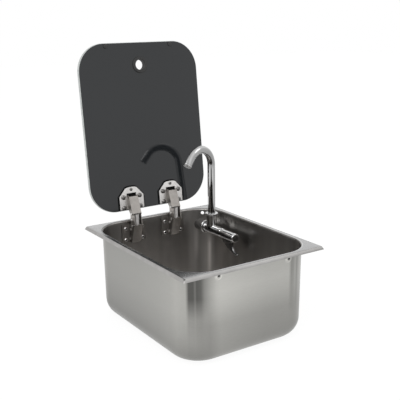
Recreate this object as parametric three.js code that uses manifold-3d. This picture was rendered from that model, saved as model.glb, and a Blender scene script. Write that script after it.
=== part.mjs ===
// Built-in sink for a camper: a drawn steel bowl with a turned-down rim, a tinted glass lid on two
// sheet-metal hinges, and a folding tap whose base goes through the bowl's rear corner.
// Millimetres, +Z up. The origin is the centre of the bowl's flat base, +Y points to the hinge wall.
import * as THREE from 'three';
import { mergeVertices } from 'three/addons/utils/BufferGeometryUtils.js';
import Module from 'manifold-3d';

// ---- fits and fineness -------------------------------------------------------------------------
const SEAT_GAP = 0.3; // between two pieces that rest on each other
const PIN_PLAY = 0.3; // radial, between a pin or shank and its hole
const CORNER_STEPS = 8; // facets in each quarter of a rounded rectangle
const FILLET_STEPS = 4; // facets in a quarter of a bend
const ROUND_SIDES = 24; // facets round a large circle
const SMALL_SIDES = 8; // facets round a pin or screw

// ---- bowl --------------------------------------------------------------------------------------
const RIM_WIDTH = 265; // across X
const RIM_LENGTH = 325; // across Y
const BOWL_HEIGHT = 153;
const SHEET = 1;
const LIP_RUN = 2.8; // how far the rim's edge slopes outwards
const LIP_DROP = 5; // and how far it comes down
const RIM_CORNER = 1.2;
const WALL_INSET_X = 10; // from the rim's edge to the bowl's outer wall
const WALL_INSET_Y = 9.4;
const WALL_TAPER = 1.4; // the bowl is this much smaller on each side at its base
const BOWL_CORNER = 54;
const MOUTH_BEND = 2.6;
const BASE_BEND = 30;
const DRAIN_BORE = 26;
const DRAIN_Y = 44;
const REST_FROM_CORNER = 2; // the lid rests, inside the ends of the front wall's straight part
const REST_DEPTH = 10; // below the rim
const DIMPLE_RADIUS = 6;
const DIMPLE_RISE = 1.2;
const REST_STUD = 1.8;
const SPARE_HOLE_RADIUS = 3.2;
const SPARE_HOLE_ANGLE = 51; // degrees round the rear corner from +X
const SPARE_HOLE_DEPTH = 8;

// ---- drain -------------------------------------------------------------------------------------
const STRAINER_RADIUS = 34;
const STRAINER_THICK = 1.5;
const STRAINER_DISH = 20;
const STRAINER_HOLE = 2.4;
const STRAINER_HOLES = 8;
const DRAIN_SEAL_THICK = 1.2;
const DRAIN_SEAL_LAND = 6;

// ---- lid ---------------------------------------------------------------------------------------
const GLASS_SIDE_MARGIN = 13; // the rim stands out this far round the closed lid's sides
const GLASS_END_MARGIN = 14.5;
const GLASS_WIDTH = RIM_WIDTH - 2 * GLASS_SIDE_MARGIN;
const GLASS_LENGTH = RIM_LENGTH - 2 * GLASS_END_MARGIN;
const GLASS_THICK = 6;
const GLASS_CORNER = 50;
const GLASS_ARRIS = 0.8;
const LID_FROM_RIM = 7.5; // the open lid's lower edge, in front of the rim's rear edge
const LID_LIFT = 17.5; // and above the rim
const LID_LEAN = 6.5; // degrees past upright
const GRIP_BORE = 9; // radius of the finger hole
const GRIP_RADIUS = 14.5;
const GRIP_LIP = 1.6;
const GRIP_WALL = 3;
const GRIP_FROM_EDGE = 39.5;
const BUMPER_RADIUS = 4;
const BUMPER_THICK = 1.5;
const BUMPER_FROM_REST = 1.5; // nearer the centre than the rest it meets
const BUMPER_FROM_EDGE = 5.2;

// ---- hinges ------------------------------------------------------------------------------------
const HINGE_X = 41; // each side of the centre
const PLATE_WIDTH = 48.6;
const PLATE_LOW = 2.2; // heights on the lid start at the glass's lower edge
const PLATE_HIGH = 41.9;
const PLATE_SHOULDER = 25.8; // where the straight sides end
const PLATE_CROWN = 25.6; // width of the rounded top
const PLATE_THICK = 1.5;
const PAD_MARGIN = 2.2; // at its sides and top
const PAD_THICK = 0.6;
const SLOT_WIDTH = 19;
const SLOT_HEIGHT = 6.4;
const SLOT_BASE = 24.4;
const PLATE_SCREW_X = 16.4;
const PLATE_SCREW_LOW = 5.4;
const PLATE_SCREW_HIGH = 24.8;
const CENTRE_SCREW_HEIGHT = 37.4;
const HINGE_SHEET = 1.2;
const ARM_HALF = 9; // half its width across X
const ARM_TOP = 25.5; // height of its front's upper end
const ARM_TOP_RISE = 2.5; // its cheeks rise by this much towards the plate
const ARM_STAND = 9.8; // its front's upper end, off the glass
const ARM_SWEEP = 15.8; // degrees between its front and the glass
const ARM_LENGTH = 31.3;
const ARM_FOOT = 2; // height where its cheeks leave the plate
const ARM_END = 3.2; // how far its cheeks run on beyond the pivot
const ARM_HEEL = 6.5; // and behind it
const PIVOT_FROM_RIM = 23.1; // the lid's pivot, in front of the rim's rear edge
const PIVOT_RISE = 14.4; // above the rim
const PIN_RADIUS = 1.5;
const PIN_HEAD = 0.8;
const LINK_HALF = 5;
const LINK_FRONT = 5; // distances of the links are measured from the lid's pivot
const LINK_DEPTH = 6.8;
const LINK_TOP_DROP = 1.5;
const LINK_END = 2.8; // how far a link runs on beyond its pins
const REAR_LINK_HALF = 7.5;
const REAR_LINK_BACK = 9.6;
const REAR_LINK_NOSE = 4.8;
const REAR_LINK_TOE = 8;
const REAR_LINK_TOE_DEPTH = 4.5; // depths are below the rim
const BRACKET_WIDTH = 48.5;
const BRACKET_HALF = 9.4;
const BRACKET_TOP = 6;
const BRACKET_HEIGHT = 34;
const BRACKET_REACH_TOP = 20.2; // from the wall
const BRACKET_REACH_BASE = 9.9;
const RIVET_X = 17;
const RIVET_TOP = 14.5;
const RIVET_PITCH = 21;
const RIVET_SHANK = 1.6;
const RIVET_HEAD = 3.4;
const RIVET_TAIL = 2.7;
const FRONT_PIN_FORWARD = 1; // the pins below the lid's pivot: in front of it or behind it
const FRONT_PIN_DEPTH = 8.3;
const BACK_PIN_BEHIND = 4.9;
const BACK_PIN_DEPTH = 15.8;
const SPACER_BEHIND = 3.8;
const SPACER_RISE = 1.6; // above the rim
const LOW_SPACER_BEHIND = 7.6;
const LOW_SPACER_DEPTH = 33.5;

// ---- tap ---------------------------------------------------------------------------------------
const TAP_FROM_SIDE = 33.1; // from the rim's right edge
const TAP_DEPTH = 30.5; // below the rim
const FLANGE_FROM_RIM = 37.3; // its rear face, in front of the rim's rear edge
const TAP_FLANGE_RADIUS = 12.2;
const TAP_FLANGE_THICK = 3;
const TAP_NECK = 3.2; // fixed length in front of the flange
const TAP_PAD_RADIUS = 11.5; // wedges in and outside the wall
const TAP_PAD_REACH = 2.6; // the outer wedge ends this far inside the rear wall
const TAP_SHANK = 6.5;
const TAP_SHANK_BORE = 4;
const TAP_SHANK_INSET = 3.5; // its end stays this far inside the rim's edge
const TAP_NUT_RADIUS = 11;
const TAP_NUT_THICK = 6;
const TAP_CORE = 4.6;
const BODY_RADIUS = 8.4;
const BODY_LENGTH = 47.7;
const GROOVES = 8;
const GROOVE_RADIUS = 0.9;
const COLLAR_BACK = 12.7; // from the body's rear end to the collar's axis
const COLLAR_RADIUS = 9.5;
const COLLAR_TOP = 27.5; // above the body's axis
const CROWN_RADIUS = 12;
const CROWN_THICK = 3;
const SPOUT_RADIUS = 7;
const SPOUT_BORE = 5.6;
const SPOUT_RISE = 121.3; // straight length above the body's axis
const NECK_RADIUS = 33.2;
const NECK_ARC = 138; // degrees
const SPOUT_SWING = 18; // degrees, from straight across towards the front
const SPOUT_DROP = 14; // straight length after the neck
const SPOUT_SOCKET = 12;
const SPOUT_SIDES = 16;
const SPOUT_STEPS = 24;
const NOZZLE_LENGTH = 4;
const NOZZLE_NECK = 4; // its length inside the spout
const NOZZLE_RADIUS = 7.5;
const NOZZLE_BORE = 4.2;
const BARREL_RADIUS = 8.2;
const BARREL_LENGTH = 37;
const CAP_THICK = 3;
const WING_THICK = 4;
const WING_REAR_DROP = 12; // drops are measured from the sleeve's axis
const WING_BELLY_BACK = 20; // behind the sleeve's front
const WING_BELLY_DROP = 28.5;
const WING_TIP_REACH = 12; // in front of the sleeve
const WING_TIP_DROP = 32;
const WING_TIP_ROUND = 3;
const WING_ROOT_BACK = 5; // behind the sleeve's front

const RIM_Z = BOWL_HEIGHT;
const WALL_X = RIM_WIDTH / 2 - WALL_INSET_X; // outer wall at the rim
const WALL_Y = RIM_LENGTH / 2 - WALL_INSET_Y;
const REST_X = WALL_X - BOWL_CORNER - REST_FROM_CORNER;
const BUMPER_X = REST_X - BUMPER_FROM_REST;
const LID_Y = RIM_LENGTH / 2 - LID_FROM_RIM;
const PIVOT_Y = RIM_LENGTH / 2 - PIVOT_FROM_RIM;
const PIVOT_Z = RIM_Z + PIVOT_RISE;
const TAP_X = RIM_WIDTH / 2 - TAP_FROM_SIDE;
const TAP_Z = RIM_Z - TAP_DEPTH;
const TAP_FLANGE_Y = RIM_LENGTH / 2 - FLANGE_FROM_RIM;
const TAP_NECK_Y = TAP_FLANGE_Y - TAP_FLANGE_THICK - TAP_NECK;
const TAP_WASHER_Y = WALL_Y - TAP_PAD_REACH;
const TAP_SHANK_END = RIM_LENGTH / 2 - TAP_SHANK_INSET;
const BODY_REAR_Y = TAP_NECK_Y - SEAT_GAP;
const COLLAR_Y = BODY_REAR_Y - COLLAR_BACK;
const BODY_END_Y = BODY_REAR_Y - BODY_LENGTH;
const BARREL_REAR_Y = BODY_END_Y - SEAT_GAP;
const BARREL_FRONT_Y = BARREL_REAR_Y - BARREL_LENGTH;
const toRad = THREE.MathUtils.degToRad;

// ---- finishes ----------------------------------------------------------------------------------
function finish(color, roughness, metalness) {
  return new THREE.MeshStandardMaterial({ color, roughness, metalness });
}
const steel = () => finish(0xb4b4ae, 0.35, 1);
const nickel = () => finish(0xc4c0b6, 0.3, 1);
const chrome = () => finish(0xd8dadc, 0.08, 1);
const rubber = () => finish(0x161616, 0.8, 0);
const tintedGlass = () => finish(0x3c3f42, 0.1, 0);

// ---- joins and cuts ----------------------------------------------------------------------------
const wasm = await Module();
wasm.setup();

function toSolid(geometry) {
  const bare = geometry.clone();
  bare.deleteAttribute('normal');
  bare.deleteAttribute('uv');
  const merged = mergeVertices(bare, 1e-4);
  const vertProperties = new Float32Array(merged.attributes.position.array);
  const triVerts = new Uint32Array(merged.index.array);
  return new wasm.Manifold(new wasm.Mesh({ numProp: 3, vertProperties, triVerts }));
}

function toGeometry(solid) {
  const mesh = solid.getMesh();
  const geometry = new THREE.BufferGeometry();
  geometry.setAttribute('position', new THREE.BufferAttribute(mesh.vertProperties, 3));
  geometry.setIndex(new THREE.BufferAttribute(mesh.triVerts, 1));
  geometry.computeVertexNormals();
  return geometry;
}

function cut(geometry, ...tools) {
  return toGeometry(tools.reduce((solid, tool) => solid.subtract(toSolid(tool)), toSolid(geometry)));
}

function join(geometry, ...others) {
  return toGeometry(others.reduce((solid, other) => solid.add(toSolid(other)), toSolid(geometry)));
}

function common(geometry, other) {
  return toGeometry(toSolid(geometry).intersect(toSolid(other)));
}

// ---- basic shapes ------------------------------------------------------------------------------
function block(sizeX, sizeY, sizeZ, x, y, z) {
  return new THREE.BoxGeometry(sizeX, sizeY, sizeZ).translate(x, y, z);
}

// A turned shape about Z from [radius, height] pairs that start and end on the axis.
function turned(profile, sides = SMALL_SIDES) {
  const points = profile.map(([radius, height]) => new THREE.Vector2(radius, height));
  return new THREE.LatheGeometry(points, sides).rotateX(Math.PI / 2);
}

function rodAlongZ(radius, low, high, sides = SMALL_SIDES) {
  return turned([[0, low], [radius, low], [radius, high], [0, high]], sides);
}

function rodAlongX(radius, low, high, sides = SMALL_SIDES) {
  return rodAlongZ(radius, low, high, sides).rotateY(Math.PI / 2);
}

// Along +Y, so that a height in the profile becomes a distance towards the hinge wall.
function turnedAlongY(profile, sides = SMALL_SIDES) {
  return turned(profile, sides).rotateX(-Math.PI / 2);
}

function ringAlongZ(outer, inner, low, high, sides = ROUND_SIDES) {
  return turned([[inner, low], [outer, low], [outer, high], [inner, high], [inner, low]], sides);
}

// A plate in the XY plane, from z = 0 to z = thick.
function plate(outline, thick, holes = []) {
  const shape = new THREE.Shape(outline);
  for (const hole of holes) {
    shape.holes.push(hole);
  }
  return new THREE.ExtrudeGeometry(shape, { depth: thick, bevelEnabled: false });
}

function circlePath(x, y, radius, sides = SMALL_SIDES) {
  const points = [];
  for (let i = 0; i < sides; i++) {
    const angle = (2 * Math.PI * i) / sides;
    points.push(new THREE.Vector2(x + radius * Math.cos(angle), y + radius * Math.sin(angle)));
  }
  return new THREE.Path(points);
}

// A side view drawn as [y, z] pairs, given its width across X and centred on x = 0.
function sidePlate(outline, width, x = 0) {
  const points = outline.map(([y, z]) => new THREE.Vector2(y, z));
  const geometry = plate(points, width);
  geometry.rotateX(Math.PI / 2);
  geometry.rotateZ(Math.PI / 2);
  return geometry.translate(x - width / 2, 0, 0);
}

// One closed ring of a rounded rectangle at height z.
function roundedRing(halfX, halfY, radius, z) {
  const ring = [];
  for (let quarter = 0; quarter < 4; quarter++) {
    const signX = quarter === 0 || quarter === 3 ? 1 : -1;
    const signY = quarter < 2 ? 1 : -1;
    for (let i = 0; i <= CORNER_STEPS; i++) {
      const angle = (Math.PI / 2) * (quarter + i / CORNER_STEPS);
      const x = signX * (halfX - radius) + radius * Math.cos(angle);
      const y = signY * (halfY - radius) + radius * Math.sin(angle);
      ring.push(new THREE.Vector3(x, y, z));
    }
  }
  return ring;
}

// A closed skin over a list of rings, with a flat fan over the first and the last.
function loft(rings) {
  const count = rings[0].length;
  const positions = rings.flat().flatMap((point) => [point.x, point.y, point.z]);
  const firstCentre = rings.length * count;
  positions.push(0, 0, rings[0][0].z, 0, 0, rings.at(-1)[0].z);
  const index = [];
  for (let level = 0; level < rings.length - 1; level++) {
    for (let i = 0; i < count; i++) {
      const next = (i + 1) % count;
      const low = level * count;
      const high = low + count;
      index.push(low + i, low + next, high + next, low + i, high + next, high + i);
    }
  }
  const last = (rings.length - 1) * count;
  for (let i = 0; i < count; i++) {
    const next = (i + 1) % count;
    index.push(firstCentre, next, i, firstCentre + 1, last + i, last + next);
  }
  const geometry = new THREE.BufferGeometry();
  geometry.setAttribute('position', new THREE.Float32BufferAttribute(positions, 3));
  geometry.setIndex(index);
  geometry.computeVertexNormals();
  return geometry;
}

// ---- the tree of pieces ------------------------------------------------------------------------
const sink = new THREE.Group();

function addPiece(parent, name, geometry, material) {
  const mesh = new THREE.Mesh(geometry, material);
  mesh.name = name;
  parent.add(mesh);
  return mesh;
}

// ---- bowl --------------------------------------------------------------------------------------
// How far the wall has come in at height z.
function taperAt(z) {
  return (WALL_TAPER * (RIM_Z - z)) / RIM_Z;
}

// A ring of the bowl's outer wall, moved inwards by the given distance.
function wallRing(inwards, z) {
  const inset = taperAt(z) + inwards;
  return roundedRing(WALL_X - inset, WALL_Y - inset, BOWL_CORNER - inwards, z);
}

function makeBowl() {
  const rings = [];
  const quarter = Math.PI / 2;
  for (let i = 0; i <= FILLET_STEPS; i++) {
    const angle = (quarter * i) / FILLET_STEPS;
    rings.push(wallRing(BASE_BEND * (1 - Math.sin(angle)), BASE_BEND * (1 - Math.cos(angle))));
  }
  const outerBend = MOUTH_BEND - SHEET;
  for (let i = 0; i <= FILLET_STEPS; i++) {
    const angle = (quarter * i) / FILLET_STEPS;
    const z = RIM_Z - MOUTH_BEND + outerBend * Math.sin(angle);
    rings.push(wallRing(-outerBend * (1 - Math.cos(angle)), z));
  }
  const edgeX = RIM_WIDTH / 2;
  const edgeY = RIM_LENGTH / 2;
  const lipTop = LIP_RUN + SHEET / 2;
  const lipFoot = RIM_Z - LIP_DROP;
  rings.push(roundedRing(edgeX - lipTop, edgeY - lipTop, RIM_CORNER / 2, RIM_Z - SHEET));
  rings.push(roundedRing(edgeX - SHEET, edgeY - SHEET, RIM_CORNER / 2, lipFoot));
  rings.push(roundedRing(edgeX, edgeY, RIM_CORNER, lipFoot));
  rings.push(roundedRing(edgeX - LIP_RUN, edgeY - LIP_RUN, RIM_CORNER, RIM_Z));
  for (let i = 0; i <= FILLET_STEPS; i++) {
    const angle = quarter * (1 - i / FILLET_STEPS);
    const z = RIM_Z - MOUTH_BEND + MOUTH_BEND * Math.sin(angle);
    rings.push(wallRing(SHEET - MOUTH_BEND * (1 - Math.cos(angle)), z));
  }
  const innerBend = BASE_BEND - SHEET;
  for (let i = 0; i <= FILLET_STEPS; i++) {
    const angle = quarter * (1 - i / FILLET_STEPS);
    const inwards = SHEET + innerBend * (1 - Math.sin(angle));
    rings.push(wallRing(inwards, SHEET + innerBend * (1 - Math.cos(angle))));
  }
  let bowl = loft(rings);

  // The two dimples pressed outwards in the front wall, each with a hole for a lid rest.
  const restZ = RIM_Z - REST_DEPTH;
  const wallFront = -(WALL_Y - taperAt(restZ));
  const land = DIMPLE_RADIUS - DIMPLE_RISE;
  for (const side of [-1, 1]) {
    const boss = turnedAlongY([[0, -DIMPLE_RISE], [land, -DIMPLE_RISE], [DIMPLE_RADIUS, 0],
      [DIMPLE_RADIUS, SHEET / 2], [0, SHEET / 2]], ROUND_SIDES);
    const hollow = turnedAlongY([[0, SHEET - DIMPLE_RISE], [land - SHEET, SHEET - DIMPLE_RISE],
      [DIMPLE_RADIUS - SHEET, SHEET], [DIMPLE_RADIUS - SHEET, 2 * SHEET], [0, 2 * SHEET]], ROUND_SIDES);
    const hole = turnedAlongY([[0, -2 * DIMPLE_RISE], [REST_STUD + PIN_PLAY, -2 * DIMPLE_RISE],
      [REST_STUD + PIN_PLAY, 2 * SHEET], [0, 2 * SHEET]]);
    for (const shape of [boss, hollow, hole]) {
      shape.translate(side * REST_X, wallFront, restZ);
    }
    bowl = cut(join(bowl, boss), hollow, hole);
  }

  // Holes: the drain, the hinge rivets, the tap's shank and a spare one above the tap.
  const tools = [rodAlongZ(DRAIN_BORE, -SHEET, 3 * SHEET, ROUND_SIDES).translate(0, DRAIN_Y, 0)];
  for (const { x, z } of rivetPlaces()) {
    const reach = 4 * SHEET;
    const radius = RIVET_SHANK + PIN_PLAY;
    tools.push(turnedAlongY([[0, -reach], [radius, -reach], [radius, reach], [0, reach]])
      .translate(x, WALL_Y, z));
  }
  const shankHole = TAP_SHANK + PIN_PLAY;
  tools.push(turnedAlongY([[0, TAP_FLANGE_Y], [shankHole, TAP_FLANGE_Y], [shankHole, WALL_Y],
    [0, WALL_Y]], ROUND_SIDES).translate(TAP_X, 0, TAP_Z));
  const spare = turnedAlongY([[0, -3 * SHEET], [SPARE_HOLE_RADIUS, -3 * SHEET],
    [SPARE_HOLE_RADIUS, 3 * SHEET], [0, 3 * SHEET]]);
  const around = toRad(SPARE_HOLE_ANGLE);
  spare.rotateZ(around - Math.PI / 2);
  spare.translate(WALL_X - BOWL_CORNER + BOWL_CORNER * Math.cos(around),
    WALL_Y - BOWL_CORNER + BOWL_CORNER * Math.sin(around), RIM_Z - SPARE_HOLE_DEPTH);
  tools.push(spare);
  return cut(bowl, ...tools);
}

function rivetPlaces() {
  const places = [];
  for (const hinge of [-1, 1]) {
    for (const side of [-1, 1]) {
      for (const row of [0, 1]) {
        const z = RIM_Z - RIVET_TOP - row * RIVET_PITCH;
        places.push({ hinge, side, row, x: hinge * HINGE_X + side * RIVET_X, z });
      }
    }
  }
  return places;
}

// ---- drain: a perforated strainer plate on a rubber ring ---------------------------------------
function addDrain() {
  const sealTop = SHEET + SEAT_GAP + DRAIN_SEAL_THICK;
  const seal = ringAlongZ(DRAIN_BORE + DRAIN_SEAL_LAND, DRAIN_BORE, SHEET + SEAT_GAP, sealTop);
  addPiece(sink, 'drain_seal', seal.translate(0, DRAIN_Y, 0), rubber());

  const low = sealTop + SEAT_GAP;
  const high = low + STRAINER_THICK;
  const dip = STRAINER_THICK;
  const disc = turned([[0, low - dip], [STRAINER_DISH, low - dip], [STRAINER_DISH + dip, low],
    [STRAINER_RADIUS, low], [STRAINER_RADIUS - dip / 2, high], [STRAINER_DISH + dip, high],
    [STRAINER_DISH, high - dip], [0, high - dip]], ROUND_SIDES);
  const holes = [rodAlongZ(STRAINER_HOLE, low - 3 * dip, high + dip)];
  for (let i = 0; i < STRAINER_HOLES; i++) {
    const angle = (2 * Math.PI * i) / STRAINER_HOLES;
    const reach = (2 * STRAINER_DISH) / 3;
    holes.push(rodAlongZ(STRAINER_HOLE, low - 3 * dip, high + dip)
      .translate(reach * Math.cos(angle), reach * Math.sin(angle), 0));
  }
  addPiece(sink, 'drain_strainer', cut(disc, ...holes).translate(0, DRAIN_Y, 0), steel());
}

// ---- lid rests: rubber buttons pushed through the front wall -----------------------------------
function addLidRests() {
  const restZ = RIM_Z - REST_DEPTH;
  const wallFront = -(WALL_Y - taperAt(restZ));
  const head = REST_STUD * 2;
  const inner = SHEET + SEAT_GAP;
  for (const [side, label] of [[-1, 'left'], [1, 'right']]) {
    const rest = turnedAlongY([[0, -DIMPLE_RISE], [REST_STUD, -DIMPLE_RISE], [REST_STUD, inner],
      [head, inner], [head, inner + 2 * head - 1], [head - 1, inner + 2 * head],
      [0, inner + 2 * head]]);
    addPiece(sink, `lid_rest_${label}`, rest.translate(side * REST_X, wallFront, restZ), rubber());
  }
}

// ---- lid glass, grip ring and bumpers ----------------------------------------------------------
// The lid's own frame: X across, Y up the glass from its hinge edge, Z out of its underside.
const lid = new THREE.Group();
lid.position.set(0, LID_Y, RIM_Z + LID_LIFT);
lid.rotation.x = toRad(90 - LID_LEAN);
sink.add(lid);

const GRIP_Y = GLASS_LENGTH - GRIP_FROM_EDGE;

function addGlass() {
  const rings = [];
  const levels = [[GLASS_ARRIS, -GLASS_THICK], [0, GLASS_ARRIS - GLASS_THICK], [0, -GLASS_ARRIS],
    [GLASS_ARRIS, 0]];
  for (const [inset, z] of levels) {
    rings.push(roundedRing(GLASS_WIDTH / 2 - inset, GLASS_LENGTH / 2 - inset, GLASS_CORNER - inset, z));
  }
  const glass = loft(rings).translate(0, GLASS_LENGTH / 2, 0);
  const bore = rodAlongZ(GRIP_BORE + GRIP_WALL + SEAT_GAP, -2 * GLASS_THICK, GLASS_THICK, ROUND_SIDES);
  addPiece(lid, 'lid_glass', cut(glass, bore.translate(0, GRIP_Y, 0)), tintedGlass());
}

function addGrip() {
  const top = SEAT_GAP + GRIP_LIP;
  const back = -GLASS_THICK - SEAT_GAP - GRIP_LIP;
  const waist = GRIP_BORE + GRIP_WALL;
  const edge = GRIP_RADIUS - GRIP_LIP / 2;
  const ring = turned([[GRIP_BORE, back], [edge, back], [GRIP_RADIUS, back + GRIP_LIP],
    [waist, back + GRIP_LIP], [waist, SEAT_GAP], [GRIP_RADIUS, SEAT_GAP], [edge, top],
    [GRIP_BORE, top], [GRIP_BORE, back]], ROUND_SIDES);
  addPiece(lid, 'grip_ring', ring.translate(0, GRIP_Y, 0), rubber());
}

function addBumpers() {
  for (const [side, label] of [[-1, 'left'], [1, 'right']]) {
    const low = SEAT_GAP;
    const bumper = turned([[0, low], [BUMPER_RADIUS, low], [BUMPER_RADIUS, low + BUMPER_THICK / 2],
      [BUMPER_RADIUS / 2, low + BUMPER_THICK], [0, low + BUMPER_THICK]]);
    bumper.translate(side * BUMPER_X, GLASS_LENGTH - BUMPER_FROM_EDGE, 0);
    addPiece(lid, `lid_bumper_${label}`, bumper, rubber());
  }
}

// ---- hinge pieces on the lid -------------------------------------------------------------------
// The D-shaped outline of a hinge plate, grown by a margin at its sides and top.
function plateOutline(margin) {
  const half = PLATE_WIDTH / 2 + margin;
  const high = PLATE_HIGH + margin;
  const topHalf = PLATE_CROWN / 2;
  const crown = high - topHalf / 4;
  const outline = [new THREE.Vector2(-half, PLATE_LOW), new THREE.Vector2(half, PLATE_LOW),
    new THREE.Vector2(half, PLATE_SHOULDER), new THREE.Vector2(topHalf, crown)];
  for (let i = 1; i < FILLET_STEPS; i++) {
    const share = i / FILLET_STEPS;
    const rise = (high - crown) * Math.sin(Math.PI * share);
    outline.push(new THREE.Vector2(topHalf * (1 - 2 * share), crown + rise));
  }
  outline.push(new THREE.Vector2(-topHalf, crown), new THREE.Vector2(-half, PLATE_SHOULDER));
  return outline;
}

const PAD_Z = SEAT_GAP;
const PLATE_Z = PAD_Z + PAD_THICK + SEAT_GAP;
const PLATE_FACE = PLATE_Z + PLATE_THICK;
const SCREW_SHANK = 1.7;
const SCREW_HEAD = 4.2;
const SCREW_HEAD_RISE = 2.2;

function plateScrewPlaces() {
  const places = [];
  for (const side of [-1, 1]) {
    for (const height of [PLATE_SCREW_LOW, PLATE_SCREW_HIGH]) {
      places.push({ side, height, x: side * PLATE_SCREW_X });
    }
  }
  return places;
}

function addLidPlate(group, label) {
  const holeRadius = SCREW_SHANK + PIN_PLAY;
  const bores = () => [...plateScrewPlaces().map(({ x, height }) => circlePath(x, height, holeRadius)),
    circlePath(0, CENTRE_SCREW_HEIGHT, holeRadius)];
  const pad = plate(plateOutline(PAD_MARGIN), PAD_THICK, bores()).translate(0, 0, PAD_Z);
  addPiece(group, `hinge_pad_${label}`, pad, rubber());

  const slot = block(SLOT_WIDTH, SLOT_HEIGHT, 2 * PLATE_FACE, 0, SLOT_BASE + SLOT_HEIGHT / 2, PLATE_FACE);
  const cover = plate(plateOutline(0), PLATE_THICK, bores()).translate(0, 0, PLATE_Z);
  addPiece(group, `hinge_plate_${label}`, cut(cover, slot), nickel());

  const tip = PAD_Z + SEAT_GAP;
  const face = PLATE_FACE + SEAT_GAP;
  const screw = turned([[0, tip], [SCREW_SHANK, tip], [SCREW_SHANK, face], [SCREW_HEAD, face],
    [SCREW_HEAD, face + SCREW_HEAD_RISE / 2], [SCREW_HEAD / 2, face + SCREW_HEAD_RISE],
    [0, face + SCREW_HEAD_RISE]]);
  for (const { side, height, x } of plateScrewPlaces()) {
    const where = `${height === PLATE_SCREW_LOW ? 'low' : 'high'}_${side < 0 ? 'a' : 'b'}`;
    addPiece(group, `plate_screw_${label}_${where}`, screw.clone().translate(x, height, 0), nickel());
  }
  const small = (2 * SCREW_HEAD) / 3;
  const centre = turned([[0, tip], [SCREW_SHANK, tip], [SCREW_SHANK, face], [small, face],
    [small, face + SCREW_HEAD_RISE / 3], [0, face + SCREW_HEAD_RISE / 2]]);
  addPiece(group, `centre_screw_${label}`, centre.translate(0, CENTRE_SCREW_HEIGHT, 0), nickel());
}

// The lid's pivot in the lid's own frame.
const pivotInLid = new THREE.Vector3(0, PIVOT_Y, PIVOT_Z).sub(lid.position)
  .applyEuler(new THREE.Euler(-lid.rotation.x, 0, 0));

// The arm is a channel whose open back stands on the plate below the slot. Its front slopes down and
// away from the glass to the pivot, and its cheeks take the pivot pin.
function addArm(group, label) {
  const foot = PLATE_FACE + SEAT_GAP;
  const sweep = toRad(ARM_SWEEP);
  const down = new THREE.Vector2(-Math.cos(sweep), Math.sin(sweep));
  const out = new THREE.Vector2(down.y, -down.x);
  const pivot = new THREE.Vector2(pivotInLid.y, pivotInLid.z);
  const fromPivot = (along, outwards) => pivot.clone().addScaledVector(down, along)
    .addScaledVector(out, outwards);
  const front = new THREE.Vector2(ARM_TOP, ARM_STAND);
  const frontEnd = front.clone().addScaledVector(down, ARM_LENGTH);
  const slant = Math.SQRT1_2 * ARM_END;
  const outline = [new THREE.Vector2(ARM_TOP + ARM_TOP_RISE, foot), new THREE.Vector2(ARM_FOOT, foot),
    fromPivot(-slant, -ARM_HEEL), fromPivot(slant, -slant), fromPivot(ARM_END, 0),
    fromPivot(slant, slant), frontEnd, front].map((p) => [p.x, p.y]);
  const cheekX = ARM_HALF - HINGE_SHEET / 2;
  const cheeks = [-1, 1].map((side) => sidePlate(outline, HINGE_SHEET, side * cheekX));
  const inner = front.clone().addScaledVector(out, -HINGE_SHEET);
  const innerEnd = frontEnd.clone().addScaledVector(out, -HINGE_SHEET);
  const section = [inner, innerEnd, frontEnd, front].map((p) => [p.x, p.y]);
  const bore = rodAlongX(PIN_RADIUS + PIN_PLAY, -2 * ARM_HALF, 2 * ARM_HALF)
    .translate(0, pivot.x, pivot.y);
  const arm = join(sidePlate(section, 2 * cheekX), ...cheeks);
  addPiece(group, `lid_arm_${label}`, cut(arm, bore), nickel());
}

// ---- hinge pieces on the bowl ------------------------------------------------------------------
const WALL_FACE = WALL_Y - SHEET - taperAt(RIM_Z - BRACKET_TOP - BRACKET_HEIGHT) - SEAT_GAP;
const BRACKET_HIGH = RIM_Z - BRACKET_TOP;
const BRACKET_LOW = BRACKET_HIGH - BRACKET_HEIGHT;
const PIVOT = { y: PIVOT_Y, z: PIVOT_Z };
const FRONT_PIN = { y: PIVOT_Y - FRONT_PIN_FORWARD, z: RIM_Z - FRONT_PIN_DEPTH };
const BACK_PIN = { y: PIVOT_Y + BACK_PIN_BEHIND, z: RIM_Z - BACK_PIN_DEPTH };
const SPACER = { y: PIVOT_Y + SPACER_BEHIND, z: RIM_Z + SPACER_RISE };
const LOW_SPACER = { y: PIVOT_Y + LOW_SPACER_BEHIND, z: RIM_Z - LOW_SPACER_DEPTH };

function pinBore({ y, z }) {
  return rodAlongX(PIN_RADIUS + PIN_PLAY, -2 * BRACKET_HALF, 2 * BRACKET_HALF).translate(0, y, z);
}

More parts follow.
